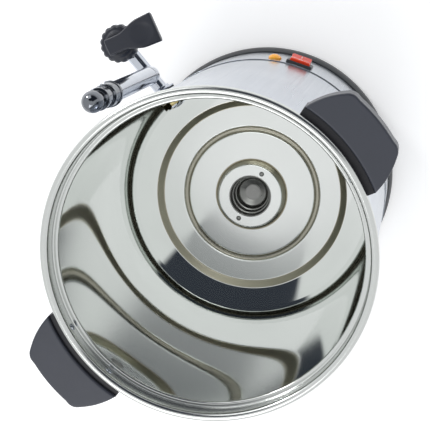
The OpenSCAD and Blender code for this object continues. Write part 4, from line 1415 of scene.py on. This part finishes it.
class URN_OT_stage(bpy.types.Operator):
    """Pale floor, soft light all round, and the camera"""

    bl_idname = "urn.stage"
    bl_label = "Stage"

    def execute(self, context):
        scene = context.scene
        size = GROUND_HALF / MM
        ground = bare_mesh(
            "ground", [(-size, -size, 0), (size, -size, 0), (size, size, 0), (-size, size, 0)],
            (), [(0, 1, 2, 3)],
        )
        material, _, shader = new_material("Ground", Roughness=0.9)
        shader.inputs["Base Color"].default_value = (0.96, 0.96, 0.96, 1.0)
        shader.inputs["Emission Color"].default_value = (1.0, 1.0, 1.0, 1.0)
        shader.inputs["Emission Strength"].default_value = 0.28
        shader.inputs["Specular IOR Level"].default_value = 0.1
        paint(ground, material)
        ground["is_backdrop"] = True

        self.sky(scene)
        self.lamp("Window light", (1.3, 0.9, 2.2), (0.0, 0.0, 0.2), 1.4, 16.0)
        self.lamp("Strip light", (0.1, -1.9, 0.9), (0.0, 0.0, 0.3), 0.3, 9.0)
        self.lamp("Fill light", (-0.4, -1.9, 1.4), (0.0, 0.0, 0.2), 1.2, 7.0)

        sight, upright = Vector(SIGHT).normalized(), Vector(UPRIGHT).normalized()
        right = sight.cross(upright).normalized()
        upright = right.cross(sight)
        camera = bpy.data.cameras.new("Camera")
        camera.sensor_width = SENSOR
        camera.lens = LENS
        holder = bpy.data.objects.new("Camera", camera)
        scene.collection.objects.link(holder)
        turn = Matrix((right, upright, -sight)).transposed().to_4x4()
        holder.matrix_world = Matrix.Translation(EYE) @ turn
        scene.camera = holder
        scene.view_settings.view_transform = "Standard"
        return {"FINISHED"}

    def lamp(self, name, place, aim, size, power):
        """A square soft light that faces a point."""
        light = bpy.data.lights.new(name, "AREA")
        light.size = size
        light.energy = power
        holder = bpy.data.objects.new(name, light)
        bpy.context.scene.collection.objects.link(holder)
        away = Vector(place) - Vector(aim)
        turn = away.to_track_quat("Z", "Y").to_matrix().to_4x4()
        holder.matrix_world = Matrix.Translation(place) @ turn

    def sky(self, scene):
        """Bright surroundings, dark on one side above the horizon."""
        world = bpy.data.worlds.new("Studio")
        scene.world = world
        world.use_nodes = True
        w = Wiring(world.node_tree)
        back = world.node_tree.nodes["Background"]
        way = w.add("ShaderNodeTexCoord").outputs["Generated"]
        axes = w.add("ShaderNodeSeparateXYZ", Vector=way)
        x, y, z = axes.outputs["X"], axes.outputs["Y"], axes.outputs["Z"]
        # Place on the ceiling
        px = w.math("DIVIDE", x, w.math("MAXIMUM", z, 0.05))
        py = w.math("DIVIDE", y, w.math("MAXIMUM", z, 0.05))
        away = w.distance(px, py)
        # How far the direction leans to the dark side
        along = [w.math("MULTIPLY", p, part) for p, part in zip((px, py), DARK_WAY)]
        lean = w.math("DIVIDE", w.math("ADD", *along), w.math("MAXIMUM", away, 0.001))
        beyond = w.span(away, *DARK_FROM, 0.0, 1.0)
        side = w.span(lean, *DARK_LEAN, 0.0, 1.0)
        above = w.span(z, *DARK_RISE, 0.0, 1.0)
        dark = w.math("MULTIPLY", w.math("MULTIPLY", beyond, side), above)
        tone = w.mix(dark, BRIGHT, DARK)
        below = w.span(z, -0.05, 0.05, 1.0, 0.0)
        w.feed(back.inputs["Color"], w.mix(below, tone, (0.9, 0.9, 0.9, 1.0)))
        back.inputs["Strength"].default_value = 1.0


# ---- Panel and registration ----

OPERATORS = (
    URN_OT_bowl, URN_OT_shell, URN_OT_handles, URN_OT_tap, URN_OT_gauge, URN_OT_controls,
    URN_OT_fittings, URN_OT_stage,
)


class URN_PT_panel(bpy.types.Panel):
    """Buttons for the urn's pieces"""

    bl_label = "Drinks Urn"
    bl_idname = "URN_PT_panel"
    bl_space_type = "VIEW_3D"
    bl_region_type = "UI"
    bl_category = "Urn"

    def draw(self, context):
        for group in (context.scene.urn_shape, context.scene.urn_finish):
            for key in group.__annotations__:
                self.layout.prop(group, key)
        for operator in OPERATORS:
            self.layout.operator(operator.bl_idname)


CLASSES = (UrnShape, UrnFinish, *OPERATORS, URN_PT_panel)


def register():
    for kind in CLASSES:
        bpy.utils.register_class(kind)
    bpy.types.Scene.urn_shape = bpy.props.PointerProperty(type=UrnShape)
    bpy.types.Scene.urn_finish = bpy.props.PointerProperty(type=UrnFinish)


def unregister():
    del bpy.types.Scene.urn_finish
    del bpy.types.Scene.urn_shape
    for kind in reversed(CLASSES):
        bpy.utils.unregister_class(kind)


def plain(box):
    """A box's corners as plain lists of numbers."""
    return [[float(c) for c in corner] for corner in box]


def main():
    register()
    bpy.ops.urn.bowl()
    bpy.ops.urn.shell()
    bpy.ops.urn.handles()
    bpy.ops.urn.tap()
    bpy.ops.urn.gauge()
    bpy.ops.urn.controls()
    bpy.ops.urn.fittings()
    bpy.ops.urn.stage()
    {"cad": plain(cad_bounds), "visual": plain(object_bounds())}


if __name__ == "__main__":
    main()
